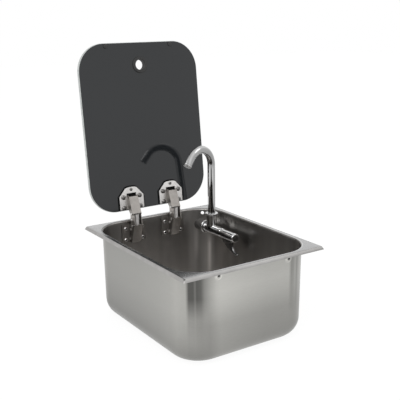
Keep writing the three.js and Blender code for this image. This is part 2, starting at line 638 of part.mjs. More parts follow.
// A folded sheet: a wedge-shaped channel with a flange riveted to the wall on each side.
function addBracket(group, label) {
  const back = WALL_FACE;
  const nose = [[back, BRACKET_LOW], [back, BRACKET_HIGH], [back - BRACKET_REACH_TOP, BRACKET_HIGH],
    [back - BRACKET_REACH_BASE, BRACKET_LOW]];
  const hollow = [[back + SHEET, BRACKET_LOW + HINGE_SHEET], [back + SHEET, BRACKET_HIGH + SHEET],
    [back - BRACKET_REACH_TOP + HINGE_SHEET, BRACKET_HIGH + SHEET],
    [back - BRACKET_REACH_BASE + HINGE_SHEET, BRACKET_LOW + HINGE_SHEET]];
  const flange = block(BRACKET_WIDTH, HINGE_SHEET, BRACKET_HEIGHT, 0, back - HINGE_SHEET / 2,
    (BRACKET_HIGH + BRACKET_LOW) / 2);
  const body = join(flange, sidePlate(nose, 2 * BRACKET_HALF));
  const tools = [sidePlate(hollow, 2 * (BRACKET_HALF - HINGE_SHEET)), pinBore(FRONT_PIN),
    pinBore(BACK_PIN), pinBore(LOW_SPACER)];
  for (const { x, z } of rivetPlaces().filter(({ hinge }) => hinge === 1)) {
    const reach = 3 * HINGE_SHEET;
    const radius = RIVET_SHANK + PIN_PLAY;
    tools.push(turnedAlongY([[0, -reach], [radius, -reach], [radius, reach], [0, reach]])
      .translate(x - HINGE_X, back, z));
  }
  addPiece(group, `hinge_bracket_${label}`, cut(body, ...tools), nickel());
}

// The front link is a narrow channel with a half-round front, between the bracket's front pin and
// the lid's pin. Only its two ears reach up to the lid's pin.
function addFrontLink(group, label) {
  const inside = LINK_HALF - HINGE_SHEET;
  const open = LINK_DEPTH - LINK_HALF;
  const section = new THREE.Shape();
  section.moveTo(LINK_HALF, open);
  section.lineTo(inside, open);
  section.lineTo(inside, 0);
  section.absarc(0, 0, inside, 0, -Math.PI, true);
  section.lineTo(-inside, open);
  section.lineTo(-LINK_HALF, open);
  section.lineTo(-LINK_HALF, 0);
  section.absarc(0, 0, LINK_HALF, -Math.PI, 0, false);
  const low = FRONT_PIN.z - LINK_END;
  const high = PIVOT_Z - LINK_TOP_DROP;
  const options = { depth: high - low, bevelEnabled: false, curveSegments: SMALL_SIDES / 2 };
  const channel = new THREE.ExtrudeGeometry(section, options);
  channel.translate(0, PIVOT_Y - LINK_FRONT + LINK_HALF, low);
  const earFront = PIVOT_Y - LINK_END / 2;
  const earBack = PIVOT_Y + LINK_END;
  const ears = [-1, 1].map((side) => sidePlate([[earBack, high - 2 * LINK_END],
    [earBack, PIVOT_Z + LINK_END], [PIVOT_Y, PIVOT_Z + LINK_END], [earFront, PIVOT_Z],
    [earFront, high - 2 * LINK_END]], HINGE_SHEET, side * (LINK_HALF - HINGE_SHEET / 2)));
  const link = cut(join(channel, ...ears), pinBore(FRONT_PIN), pinBore(PIVOT));
  addPiece(group, `front_link_${label}`, link, nickel());
}

// The rear link is a wider channel round it, open to the front, from the bracket's rear pin up to the
// lid's pin. A spacer pin holds its cheeks apart.
function addRearLink(group, label) {
  const low = BACK_PIN.z - LINK_END;
  const high = PIVOT_Z + LINK_END;
  const back = PIVOT_Y + REAR_LINK_BACK;
  const noseTop = PIVOT_Z - LINK_TOP_DROP;
  const toeZ = RIM_Z - REAR_LINK_TOE_DEPTH;
  const toeY = PIVOT_Y - REAR_LINK_TOE;
  const outline = [[back, low], [back, high], [PIVOT_Y, high], [PIVOT_Y - LINK_END / 2, noseTop],
    [PIVOT_Y - REAR_LINK_NOSE, noseTop], [toeY, toeZ], [toeY + HINGE_SHEET, toeZ - HINGE_SHEET],
    [BACK_PIN.y - LINK_END, toeZ - HINGE_SHEET], [BACK_PIN.y - LINK_END, low]];
  const cheekX = REAR_LINK_HALF - HINGE_SHEET / 2;
  const cheeks = [-1, 1].map((side) => sidePlate(outline, HINGE_SHEET, side * cheekX));
  const web = block(2 * cheekX, HINGE_SHEET, high - low, 0, back - HINGE_SHEET / 2, (low + high) / 2);
  const link = cut(join(web, ...cheeks), pinBore(BACK_PIN), pinBore(PIVOT), pinBore(SPACER));
  addPiece(group, `rear_link_${label}`, link, nickel());
}

// A pin with a low head on each end.
function hingePin(half) {
  const head = PIN_RADIUS + PIN_HEAD;
  const face = half + PIN_PLAY;
  const end = face + PIN_HEAD;
  return turned([[0, -end], [head, -end], [head, -face], [PIN_RADIUS, -face], [PIN_RADIUS, face],
    [head, face], [head, end], [0, end]]).rotateY(Math.PI / 2);
}

function addRivets() {
  const head = WALL_FACE - HINGE_SHEET - SEAT_GAP;
  const dome = RIVET_SHANK;
  const tail = WALL_Y + SEAT_GAP;
  const rivet = turnedAlongY([[0, head - dome], [RIVET_HEAD / 2, head - dome],
    [RIVET_HEAD, head - dome / 2], [RIVET_HEAD, head], [RIVET_SHANK, head], [RIVET_SHANK, tail],
    [RIVET_TAIL, tail], [RIVET_TAIL, tail + dome], [0, tail + dome]]);
  for (const { hinge, side, row, x, z } of rivetPlaces()) {
    const label = `${hinge < 0 ? 'left' : 'right'}_${row ? 'low' : 'high'}_${side < 0 ? 'a' : 'b'}`;
    addPiece(sink, `bracket_rivet_${label}`, rivet.clone().translate(x, 0, z), nickel());
  }
}

function addHinges() {
  for (const [side, label] of [[-1, 'left'], [1, 'right']]) {
    const onLid = new THREE.Group();
    onLid.position.x = side * HINGE_X;
    lid.add(onLid);
    addLidPlate(onLid, label);
    addArm(onLid, label);

    const onBowl = new THREE.Group();
    onBowl.position.x = side * HINGE_X;
    sink.add(onBowl);
    addBracket(onBowl, label);
    addFrontLink(onBowl, label);
    addRearLink(onBowl, label);
    const pins = [['lid_pin', ARM_HALF, PIVOT], ['link_pin', BRACKET_HALF, FRONT_PIN],
      ['back_pin', BRACKET_HALF, BACK_PIN], ['link_spacer', REAR_LINK_HALF, SPACER],
      ['bracket_spacer', BRACKET_HALF, LOW_SPACER]];
    for (const [kind, half, { y, z }] of pins) {
      addPiece(onBowl, `${kind}_${label}`, hingePin(half).translate(0, y, z), nickel());
    }
  }
}

// ---- tap: fixed base ---------------------------------------------------------------------------
function rodAlongY(radius, low, high, sides = SMALL_SIDES) {
  return turnedAlongY([[0, low], [radius, low], [radius, high], [0, high]], sides);
}

// A solid that fills the bowl's outline, moved inwards by the given distance, round the tap's level.
function wallFill(inwards) {
  const reach = 2 * TAP_FLANGE_RADIUS;
  return loft([wallRing(inwards, TAP_Z - reach), wallRing(inwards, TAP_Z + reach)]);
}

function addTapBase() {
  const flangeFront = TAP_FLANGE_Y - TAP_FLANGE_THICK;
  const base = turnedAlongY([[0, BARREL_FRONT_Y + SEAT_GAP], [TAP_CORE, BARREL_FRONT_Y + SEAT_GAP],
    [TAP_CORE, TAP_NECK_Y], [BODY_RADIUS, TAP_NECK_Y], [BODY_RADIUS, flangeFront],
    [TAP_FLANGE_RADIUS - 1, flangeFront], [TAP_FLANGE_RADIUS, flangeFront + 1],
    [TAP_FLANGE_RADIUS, TAP_FLANGE_Y], [TAP_SHANK, TAP_FLANGE_Y], [TAP_SHANK, TAP_SHANK_END],
    [TAP_SHANK_BORE, TAP_SHANK_END], [TAP_SHANK_BORE, TAP_NECK_Y], [0, TAP_NECK_Y]], ROUND_SIDES);
  addPiece(sink, 'tap_base', base.translate(TAP_X, 0, TAP_Z), chrome());

  const seatFront = TAP_FLANGE_Y + SEAT_GAP;
  const seat = rodAlongY(TAP_PAD_RADIUS, seatFront, WALL_Y, ROUND_SIDES).translate(TAP_X, 0, TAP_Z);
  const seatBody = common(seat, wallFill(SHEET + SEAT_GAP));
  const shankHole = rodAlongY(TAP_SHANK + PIN_PLAY, 0, RIM_LENGTH, ROUND_SIDES)
    .translate(TAP_X, 0, TAP_Z);
  addPiece(sink, 'tap_seat', cut(seatBody, shankHole), steel());

  const washer = rodAlongY(TAP_PAD_RADIUS, COLLAR_Y, TAP_WASHER_Y, ROUND_SIDES);
  washer.translate(TAP_X, 0, TAP_Z);
  addPiece(sink, 'tap_washer', cut(washer, wallFill(-SEAT_GAP), shankHole), rubber());

  const nutFront = TAP_WASHER_Y + SEAT_GAP;
  const nut = rodAlongY(TAP_NUT_RADIUS, nutFront, nutFront + TAP_NUT_THICK, 6);
  nut.translate(TAP_X, 0, TAP_Z);
  addPiece(sink, 'tap_nut', cut(nut, shankHole), steel());
}

// ---- tap: swivel body with the collar for the spout --------------------------------------------
const swivel = new THREE.Group();
swivel.position.set(TAP_X, 0, TAP_Z);
sink.add(swivel);

function addSwivelBody() {
  let body = rodAlongY(BODY_RADIUS, BODY_END_Y, BODY_REAR_Y, ROUND_SIDES);
  const collar = rodAlongZ(COLLAR_RADIUS, 0, COLLAR_TOP, ROUND_SIDES);
  body = join(body, collar.translate(0, COLLAR_Y, 0));
  const tools = [rodAlongY(TAP_CORE + PIN_PLAY, 0, RIM_LENGTH, ROUND_SIDES)];
  const socketFloor = COLLAR_TOP - SPOUT_SOCKET;
  tools.push(rodAlongZ(SPOUT_RADIUS + PIN_PLAY, socketFloor, 2 * COLLAR_TOP, ROUND_SIDES)
    .translate(0, COLLAR_Y, 0));
  for (let i = 0; i < GROOVES; i++) {
    const angle = (2 * Math.PI * (i + 0.5)) / GROOVES;
    tools.push(rodAlongY(GROOVE_RADIUS, BODY_END_Y + COLLAR_RADIUS / 2, COLLAR_Y - COLLAR_RADIUS * 1.4, 6)
      .translate(BODY_RADIUS * Math.cos(angle), 0, BODY_RADIUS * Math.sin(angle)));
  }
  addPiece(swivel, 'swivel_body', cut(body, ...tools), chrome());

  const low = COLLAR_TOP + SEAT_GAP;
  const crown = ringAlongZ(CROWN_RADIUS, SPOUT_RADIUS + PIN_PLAY, low, low + CROWN_THICK);
  addPiece(swivel, 'crown_ring', crown.translate(0, COLLAR_Y, 0), chrome());
}

// ---- tap: spout --------------------------------------------------------------------------------
const SPOUT_FOOT = COLLAR_TOP - SPOUT_SOCKET + SEAT_GAP;
const NECK_TURN = toRad(NECK_ARC);

// Up the stem, round the neck, and straight on down the slope.
class SpoutLine extends THREE.Curve {
  getPoint(share) {
    const straight = SPOUT_RISE - SPOUT_FOOT;
    const bend = NECK_RADIUS * NECK_TURN;
    const travelled = share * (straight + bend + SPOUT_DROP);
    if (travelled < straight) {
      return new THREE.Vector3(0, 0, SPOUT_FOOT + travelled);
    }
    const angle = Math.min((travelled - straight) / NECK_RADIUS, NECK_TURN);
    const onwards = Math.max(travelled - straight - bend, 0);
    const x = NECK_RADIUS * (Math.cos(angle) - 1) - onwards * Math.sin(angle);
    const z = SPOUT_RISE + NECK_RADIUS * Math.sin(angle) + onwards * Math.cos(angle);
    return new THREE.Vector3(x, 0, z);
  }
}

function addSpout() {
  const spout = new THREE.Group();
  spout.position.y = COLLAR_Y;
  spout.rotation.z = toRad(SPOUT_SWING);
  swivel.add(spout);
  const section = new THREE.Shape(circlePath(0, 0, SPOUT_RADIUS, SPOUT_SIDES).getPoints());
  section.holes.push(circlePath(0, 0, SPOUT_BORE, SPOUT_SIDES));
  const line = new SpoutLine();
  const tube = new THREE.ExtrudeGeometry(section, { steps: SPOUT_STEPS, extrudePath: line });
  addPiece(spout, 'spout_tube', tube, chrome());

  const sleeveTop = -SEAT_GAP;
  const neck = SPOUT_BORE - 2 * SEAT_GAP;
  const nozzle = turned([[NOZZLE_BORE, NOZZLE_NECK], [NOZZLE_BORE, sleeveTop - NOZZLE_LENGTH],
    [NOZZLE_RADIUS - SHEET, sleeveTop - NOZZLE_LENGTH], [NOZZLE_RADIUS, sleeveTop - NOZZLE_LENGTH + SHEET],
    [NOZZLE_RADIUS, sleeveTop], [neck, sleeveTop], [neck, NOZZLE_NECK],
    [NOZZLE_BORE, NOZZLE_NECK]], SPOUT_SIDES);
  const piece = addPiece(spout, 'nozzle', nozzle, chrome());
  piece.position.copy(line.getPoint(1));
  piece.rotation.y = Math.PI - NECK_TURN;
}

// ---- tap: lever --------------------------------------------------------------------------------
function addLever() {
  const lever = new THREE.Group();
  lever.position.set(TAP_X, 0, TAP_Z);
  sink.add(lever);
  const tip = BARREL_FRONT_Y - WING_TIP_REACH;
  const front = BARREL_FRONT_Y + WING_ROOT_BACK;
  const rear = BARREL_REAR_Y - SHEET;
  const root = -(BARREL_RADIUS + TAP_CORE) / 2;
  const belly = BARREL_FRONT_Y + WING_BELLY_BACK;
  const wing = new THREE.Shape();
  wing.moveTo(rear, root);
  wing.lineTo(rear, -WING_REAR_DROP);
  wing.quadraticCurveTo(belly, -WING_BELLY_DROP, tip + WING_TIP_ROUND, -WING_TIP_DROP);
  wing.lineTo(tip, -WING_TIP_DROP + WING_THICK);
  wing.quadraticCurveTo(front + WING_THICK, -WING_TIP_DROP + WING_THICK, front, root);
  const blade = sidePlate(wing.getPoints(FILLET_STEPS).map((p) => [p.x, p.y]), WING_THICK);
  const bore = TAP_CORE + PIN_PLAY;
  const sleeve = turnedAlongY([[bore, BARREL_FRONT_Y], [BARREL_RADIUS, BARREL_FRONT_Y],
    [BARREL_RADIUS, BARREL_REAR_Y], [bore, BARREL_REAR_Y], [bore, BARREL_FRONT_Y]], ROUND_SIDES);
  addPiece(lever, 'lever_sleeve', join(sleeve, blade), chrome());

  const capRear = BARREL_FRONT_Y - SEAT_GAP;
  const cap = turnedAlongY([[0, capRear - CAP_THICK], [BARREL_RADIUS - 1, capRear - CAP_THICK],
    [BARREL_RADIUS, capRear - CAP_THICK + 1], [BARREL_RADIUS, capRear], [0, capRear]], ROUND_SIDES);
  addPiece(lever, 'lever_cap', cap, chrome());
}

addPiece(sink, 'bowl', makeBowl(), steel());
addDrain();
addLidRests();
addGlass();
addGrip();
addBumpers();
addHinges();
addRivets();
addTapBase();
addSwivelBody();
addSpout();
addLever();

export default sink;
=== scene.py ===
import math

import bmesh
import bpy
from mathutils import Matrix, Vector


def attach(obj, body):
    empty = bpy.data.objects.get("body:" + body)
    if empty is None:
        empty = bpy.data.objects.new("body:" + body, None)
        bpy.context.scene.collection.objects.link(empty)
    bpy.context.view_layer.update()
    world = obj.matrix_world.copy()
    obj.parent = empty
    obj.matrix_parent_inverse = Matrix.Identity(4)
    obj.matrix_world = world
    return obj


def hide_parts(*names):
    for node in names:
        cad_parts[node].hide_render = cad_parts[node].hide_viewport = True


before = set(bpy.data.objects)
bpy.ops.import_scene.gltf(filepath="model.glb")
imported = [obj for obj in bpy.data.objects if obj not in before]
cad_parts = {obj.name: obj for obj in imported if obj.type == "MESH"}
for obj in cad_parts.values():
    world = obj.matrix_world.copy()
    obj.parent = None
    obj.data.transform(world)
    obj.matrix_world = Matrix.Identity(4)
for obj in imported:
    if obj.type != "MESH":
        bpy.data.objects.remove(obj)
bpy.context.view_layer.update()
scene = bpy.context.scene
scene.view_settings.view_transform = "Standard"

# Camera. It stands in front of the sink and to its left, 1.2 m away, and looks down on it from
# 0.37 m above the rim. Its place, turn and lens were fitted to the photograph.
camera_place = Vector((-0.64313, -0.97730, 0.51808))
camera_right = Vector((0.83244, -0.55403, -0.00980))
camera_up = Vector((0.14691, 0.20361, 0.96797))
camera_data = bpy.data.cameras.new("camera")
camera_data.sensor_width = 36
camera_data.lens = 65.89
camera_data.clip_start = 0.05
camera_turn = Matrix((camera_right, camera_up, camera_right.cross(camera_up))).transposed()
camera = bpy.data.objects.new("camera", camera_data)
camera.matrix_world = Matrix.Translation(camera_place) @ camera_turn.to_4x4()
scene.collection.objects.link(camera)
scene.camera = camera


# Stage. A white floor under the bowl and a white surround, lit by two soft lamps. The surround is
# full white only to the eye and to what mirrors it; it lights the object less than that.
class Wire:
    """A socket that takes part in ordinary sums. Each sum adds a maths node of its own."""

    def __init__(self, tree, socket):
        self.tree = tree
        self.socket = socket

    def maths(self, operation, first, second):
        return self.tree.add("ShaderNodeMath", {"operation": operation}, {0: first, 1: second})

    def __add__(self, other):
        return self.maths("ADD", self, other)

    __radd__ = __add__

    def __mul__(self, other):
        return self.maths("MULTIPLY", self, other)

    __rmul__ = __mul__

    def __sub__(self, other):
        return self.maths("SUBTRACT", self, other)

    def __rsub__(self, other):
        return self.maths("SUBTRACT", other, self)

    def __lt__(self, other):
        return self.maths("LESS_THAN", self, other)

    def __gt__(self, other):
        return self.maths("GREATER_THAN", self, other)

    def at_least(self, other):
        return self.maths("MAXIMUM", self, other)

    def absolute(self):
        return self.maths("ABSOLUTE", self, 0)

    def squared(self):
        return self * self

    def root(self):
        return self.maths("SQRT", self, 0)


class NodeTree:
    """A tree of nodes, with one way to add any node."""

    def __init__(self, tree):
        self.nodes = tree.nodes
        self.links = tree.links

    def plug(self, socket, value):
        if isinstance(value, Wire):
            self.links.new(value.socket, socket)
        else:
            socket.default_value = value

    def set_stops(self, ramp, stops):
        while len(ramp.elements) < len(stops):
            ramp.elements.new(1)
        for element, (place, colour) in zip(ramp.elements, stops):
            element.position = place
            element.color = colour

    def add(self, kind, settings=None, inputs=None, output=0):
        node = self.nodes.new(kind)
        for label, value in (settings or {}).items():
            if label == "stops":
                self.set_stops(node.color_ramp, value)
            else:
                setattr(node, label, value)
        for label, value in (inputs or {}).items():
            self.plug(node.inputs[label], value)
        return Wire(self, node.outputs[output])


class Finish(NodeTree):
    """A material: its Principled shader, and the patterns that change over a piece."""

    def __init__(self, name, **sockets):
        self.material = bpy.data.materials.new(name)
        self.material.use_nodes = True
        super().__init__(self.material.node_tree)
        self.shader = self.nodes["Principled BSDF"]
        for label, value in sockets.items():
            self.set(label.replace("_", " "), value)

    def set(self, label, value):
        self.plug(self.shader.inputs[label], value)

    def position(self):
        return self.add("ShaderNodeTexCoord", output="Object")

    def axes(self):
        """The place on the piece as three separate wires, in metres."""
        split = self.add("ShaderNodeSeparateXYZ", {}, {0: self.position()}).socket.node
        return [Wire(self, socket) for socket in split.outputs]

    def noise(self, scale, stretch=(1, 1, 1), detail=3):
        place = self.add("ShaderNodeMapping", {}, {"Vector": self.position(), "Scale": stretch})
        return self.add("ShaderNodeTexNoise", {}, {"Vector": place, "Scale": scale, "Detail": detail})

    def ramp(self, value, *stops):
        return self.add("ShaderNodeValToRGB", {"stops": stops}, {0: value})

    def shades(self, pattern, dark, light):
        """Two shades that mix over the surface as a noise does."""
        return self.ramp(pattern, (0.3, dark), (0.7, light))

    def profile(self, value, *points):
        """A grey that passes through (place, level) points at rising places along value."""
        low, span = points[0][0], points[-1][0] - points[0][0]
        stops = [((place - low) / span, grey(level)) for place, level in points]
        return self.ramp((value - low) * (1 / span), *stops)

    def tint(self, *factors):
        """Multiplies greys and colours into the base colour."""
        product = factors[0]
        for factor in factors[1:]:
            inputs = {"Factor": 1.0, 6: product, 7: factor}
            product = self.add("ShaderNodeMix", {"data_type": "RGBA", "blend_type": "MULTIPLY"}, inputs, 2)
        self.set("Base Color", product)

    def roughen(self, pattern, least, spread):
        self.set("Roughness", pattern * spread + least)

    def bump(self, height, depth):
        self.set("Normal", self.add("ShaderNodeBump", {}, {"Height": height, "Distance": depth}))


def grey(level, warmth=0.0):
    return (level * (1 + warmth), level, level * (1 - warmth), 1)


def lamp(name, size, power, place):
    data = bpy.data.lights.new(name, "AREA")
    data.shape = "DISK"
    data.size = size
    data.energy = power
    aim = (bowl_middle - place).to_track_quat("-Z", "Y").to_matrix()
    holder = bpy.data.objects.new(name, data)
    holder.matrix_world = Matrix.Translation(place) @ aim.to_4x4()
    scene.collection.objects.link(holder)


bowl_middle = Vector((0, 0, 0.15))
lamp("key", 0.9, 9, Vector((-0.9, -0.7, 1.4)))
lamp("fill", 1.2, 5, Vector((1.4, -0.9, 1.7)))

white = grey(1)
world = bpy.data.worlds.new("surround")
scene.world = world
world.use_nodes = True
sky = NodeTree(world.node_tree)
sky.nodes.remove(sky.nodes["Background"])
looked_at = sky.add("ShaderNodeLightPath", output="Is Camera Ray")
for ray in ("Is Glossy Ray", "Is Transmission Ray"):
    looked_at = looked_at.at_least(sky.add("ShaderNodeLightPath", output=ray))
lighting = sky.add("ShaderNodeBackground", {}, {"Color": white, "Strength": 0.75})
backdrop = sky.add("ShaderNodeBackground", {}, {"Color": white, "Strength": 1.0})
surround = sky.add("ShaderNodeMixShader", {}, {0: looked_at, 1: lighting, 2: backdrop})
sky.plug(sky.nodes["World Output"].inputs["Surface"], surround)

floor_bm = bmesh.new()
bmesh.ops.create_grid(floor_bm, x_segments=1, y_segments=1, size=6)
floor_mesh = bpy.data.meshes.new("floor")
floor_bm.to_mesh(floor_mesh)
floor_bm.free()
floor = bpy.data.objects.new("floor", floor_mesh)
scene.collection.objects.link(floor)
floor_paint = Finish("floor_paint", Base_Color=grey(0.9), Roughness=0.9, Specular_IOR_Level=0.1)
painted = Wire(floor_paint, floor_paint.shader.outputs["BSDF"])
glowing = floor_paint.add("ShaderNodeEmission", {}, {"Color": white, "Strength": 1.04})
mostly_glowing = floor_paint.add("ShaderNodeMixShader", {}, {0: 0.9, 1: painted, 2: glowing})
floor_paint.plug(floor_paint.nodes["Material Output"].inputs["Surface"], mostly_glowing)
floor_mesh.materials.append(floor_paint.material)


# Bowl. One sheet of stainless steel, drawn to depth, with a flat rim whose edge is turned down. The
# mouth is rolled over a small radius, and the front wall has two pressed dimples for the lid rests.
# Holes are cut for the drain, the tap, the lid rests and the hinges' rivets, and a spare one.
rim_x, rim_y, rim_z = 0.1325, 0.1625, 0.153
rim_fall = 0.005
wall_x, wall_y = 0.1225, 0.1531
wall_corner = 0.054
wall_draft = 0.0014
sheet = 0.001
base_bend = 0.030
mouth_roll = 0.0026
fold = 0.0012
through = 0.003


def rounded_line(half_x, half_y, radius, z, steps=16):
    """The points of a rectangle with round corners, each corner in so many steps."""
    points = []
    for corner in range(4):
        side_x = 1 if corner in (0, 3) else -1
        side_y = 1 if corner < 2 else -1
        for step in range(steps + 1):
            angle = math.pi / 2 * (corner + step / steps)
            x = side_x * (half_x - radius) + radius * math.cos(angle)
            y = side_y * (half_y - radius) + radius * math.sin(angle)
            points.append((x, y, z))
    return points


def wall_line(inwards, z):
    inset = wall_draft * (rim_z - z) / rim_z + inwards
    return rounded_line(wall_x - inset, wall_y - inset, wall_corner - inwards, z)


def rim_line(inset, corner, z):
    return rounded_line(rim_x - inset, rim_y - inset, corner, z)


def quarter_turn(steps):
    return [math.pi / 2 * i / steps for i in range(steps + 1)]


def start(bm, points):
    loop = bmesh.ops.create_circle(bm, segments=len(points), radius=1)["verts"]
    for vert, point in zip(loop, points):
        vert.co = point
    return loop


def grow(bm, loop, points, paint=0):
    """Extrudes a loop of vertices and moves the new ones to the given points."""
    edges = [bm.edges.get(pair) for pair in zip(loop, loop[1:] + loop[:1])]
    made = bmesh.ops.extrude_edge_only(bm, edges=edges)["geom"]
    made = {part for part in made if isinstance(part, bmesh.types.BMVert)}
    fresh = []
    for old, point in zip(loop, points):
        new = next(edge.other_vert(old) for edge in old.link_edges if edge.other_vert(old) in made)
        new.co = point
        fresh.append(new)
    for vert in fresh:
        for face in vert.link_faces:
            face.material_index = paint
    return fresh


def cap_end(bm, loop, paint=0):
    bm.faces.new(loop).material_index = paint


def close_up(bm):
    bmesh.ops.remove_doubles(bm, verts=bm.verts, dist=1e-6)
    bmesh.ops.recalc_face_normals(bm, faces=bm.faces)


def rod(bm, radius, low, high, sides=32, high_radius=None):
    low, high = Vector(low), Vector(high)
    turn = (high - low).to_track_quat("Z", "Y").to_matrix().to_4x4()
    bmesh.ops.create_cone(bm, cap_ends=True, segments=sides, radius1=radius,
                          radius2=radius if high_radius is None else high_radius,
                          depth=(high - low).length,
                          matrix=Matrix.Translation((low + high) / 2) @ turn)


def combine(bm, other, operation):
    """Cuts or joins two shapes, which are used up, and gives back the result."""
    holders = []
    for label, shape in (("work", bm), ("other", other)):
        mesh = bpy.data.meshes.new(label)
        shape.to_mesh(mesh)
        shape.free()
        holder = bpy.data.objects.new(label, mesh)
        scene.collection.objects.link(holder)
        holders.append(holder)
    change = holders[0].modifiers.new("change", "BOOLEAN")
    change.operation = operation
    change.solver = "EXACT"
    change.object = holders[1]
    seen = holders[0].evaluated_get(bpy.context.evaluated_depsgraph_get())
    result = bmesh.new()
    result.from_mesh(seen.data)
    for holder in holders:
        mesh = holder.data
        bpy.data.objects.remove(holder)
        bpy.data.meshes.remove(mesh)
    return result


def carve(bm, tools):
    return combine(bm, tools, "DIFFERENCE")


def weld(bm, other):
    return combine(bm, other, "UNION")


def piece(name, bm, finishes, body, slot, *nodes, place=Matrix(), sharp=38):
    """Puts a finished shape in the scene, on its body, in place of its nodes of the model."""
    mesh = bpy.data.meshes.new(name)
    bm.transform(place)
    bm.to_mesh(mesh)
    bm.free()
    mesh.polygons.foreach_set("use_smooth", [True] * len(mesh.polygons))
    mesh.set_sharp_from_angle(angle=math.radians(sharp))
    for finish in finishes if isinstance(finishes, (list, tuple)) else [finishes]:
        mesh.materials.append(finish.material)
    made = bpy.data.objects.new(name, mesh)
    scene.collection.objects.link(made)
    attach(made, body)
    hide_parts(*nodes)


outer_roll = mouth_roll - sheet
outer_lines = [wall_line(base_bend * (1 - math.sin(angle)), base_bend * (1 - math.cos(angle)))
               for angle in quarter_turn(8)]
outer_lines += [wall_line(outer_roll * (math.cos(angle) - 1),
                          rim_z - mouth_roll + outer_roll * math.sin(angle))
                for angle in quarter_turn(5)]
outer_lines.append(rim_line(0.0033, 0.0006, rim_z - sheet))
outer_lines.append(rim_line(0.0010, 0.0006, rim_z - rim_fall))
outer_lines.append(rim_line(0, fold, rim_z - rim_fall))
lip_lines = [rim_line(0.0025, fold, rim_z - 0.0004), rim_line(0.0031, fold, rim_z)]
mouth_lines = [wall_line(sheet + mouth_roll * (math.cos(angle) - 1),
                         rim_z - mouth_roll * (1 - math.sin(angle)))
               for angle in reversed(quarter_turn(8))]
inner_bend = base_bend - sheet
bend_lines = [wall_line(sheet + inner_bend * (1 - math.sin(angle)),
                        sheet + inner_bend * (1 - math.cos(angle)))
              for angle in reversed(quarter_turn(10)[:-1])]
bowl_bm = bmesh.new()
loop = start(bowl_bm, outer_lines[0])
cap_end(bowl_bm, loop)
for paint, lines in enumerate((outer_lines[1:], lip_lines, mouth_lines[:3], mouth_lines[3:] + bend_lines)):
    for line in lines:
        loop = grow(bowl_bm, loop, line, paint)
cap_end(bowl_bm, loop, 3)
close_up(bowl_bm)

rest_x, rest_z = 0.0665, 0.143
dimple_face = -wall_y - 0.0011
dimples = bmesh.new()
for x in (-rest_x, rest_x):
    rod(dimples, 0.0048, (x, dimple_face, rest_z), (x, 0.0005 - wall_y, rest_z), 40, 0.0060)
bowl_bm = weld(bowl_bm, dimples)

drain_y = 0.044
spare_way = Vector((math.cos(math.radians(51)), math.sin(math.radians(51)), 0))
spare_spot = Vector((wall_x - wall_corner, wall_y - wall_corner, rim_z - 0.008)) + spare_way * wall_corner
hinge_x = 0.041
rivet_x = 0.017
rivet_rows = {"high": rim_z - 0.0145, "low": rim_z - 0.0355}
tap_x, tap_z = 0.0994, 0.1225
holes = bmesh.new()
for x in (-rest_x, rest_x):
    rod(holes, 0.0050, (x, dimple_face + sheet, rest_z), (x, through - wall_y, rest_z), 40)
    rod(holes, 0.0021, (x, dimple_face - 0.0018, rest_z), (x, dimple_face + 0.0022, rest_z), 24)
rod(holes, 0.026, (0, drain_y, -through), (0, drain_y, sheet + through), 64)
rod(holes, 0.0032, spare_spot - spare_way * through, spare_spot + spare_way * through, 24)
for x in (-hinge_x - rivet_x, -hinge_x + rivet_x, hinge_x - rivet_x, hinge_x + rivet_x):
    for z in rivet_rows.values():
        rod(holes, 0.0019, (x, wall_y - through, z), (x, wall_y + through, z), 20)
rod(holes, 0.0068, (tap_x, 0.115, tap_z), (tap_x, 0.150, tap_z), 32)
bowl_bm = carve(bowl_bm, holes)


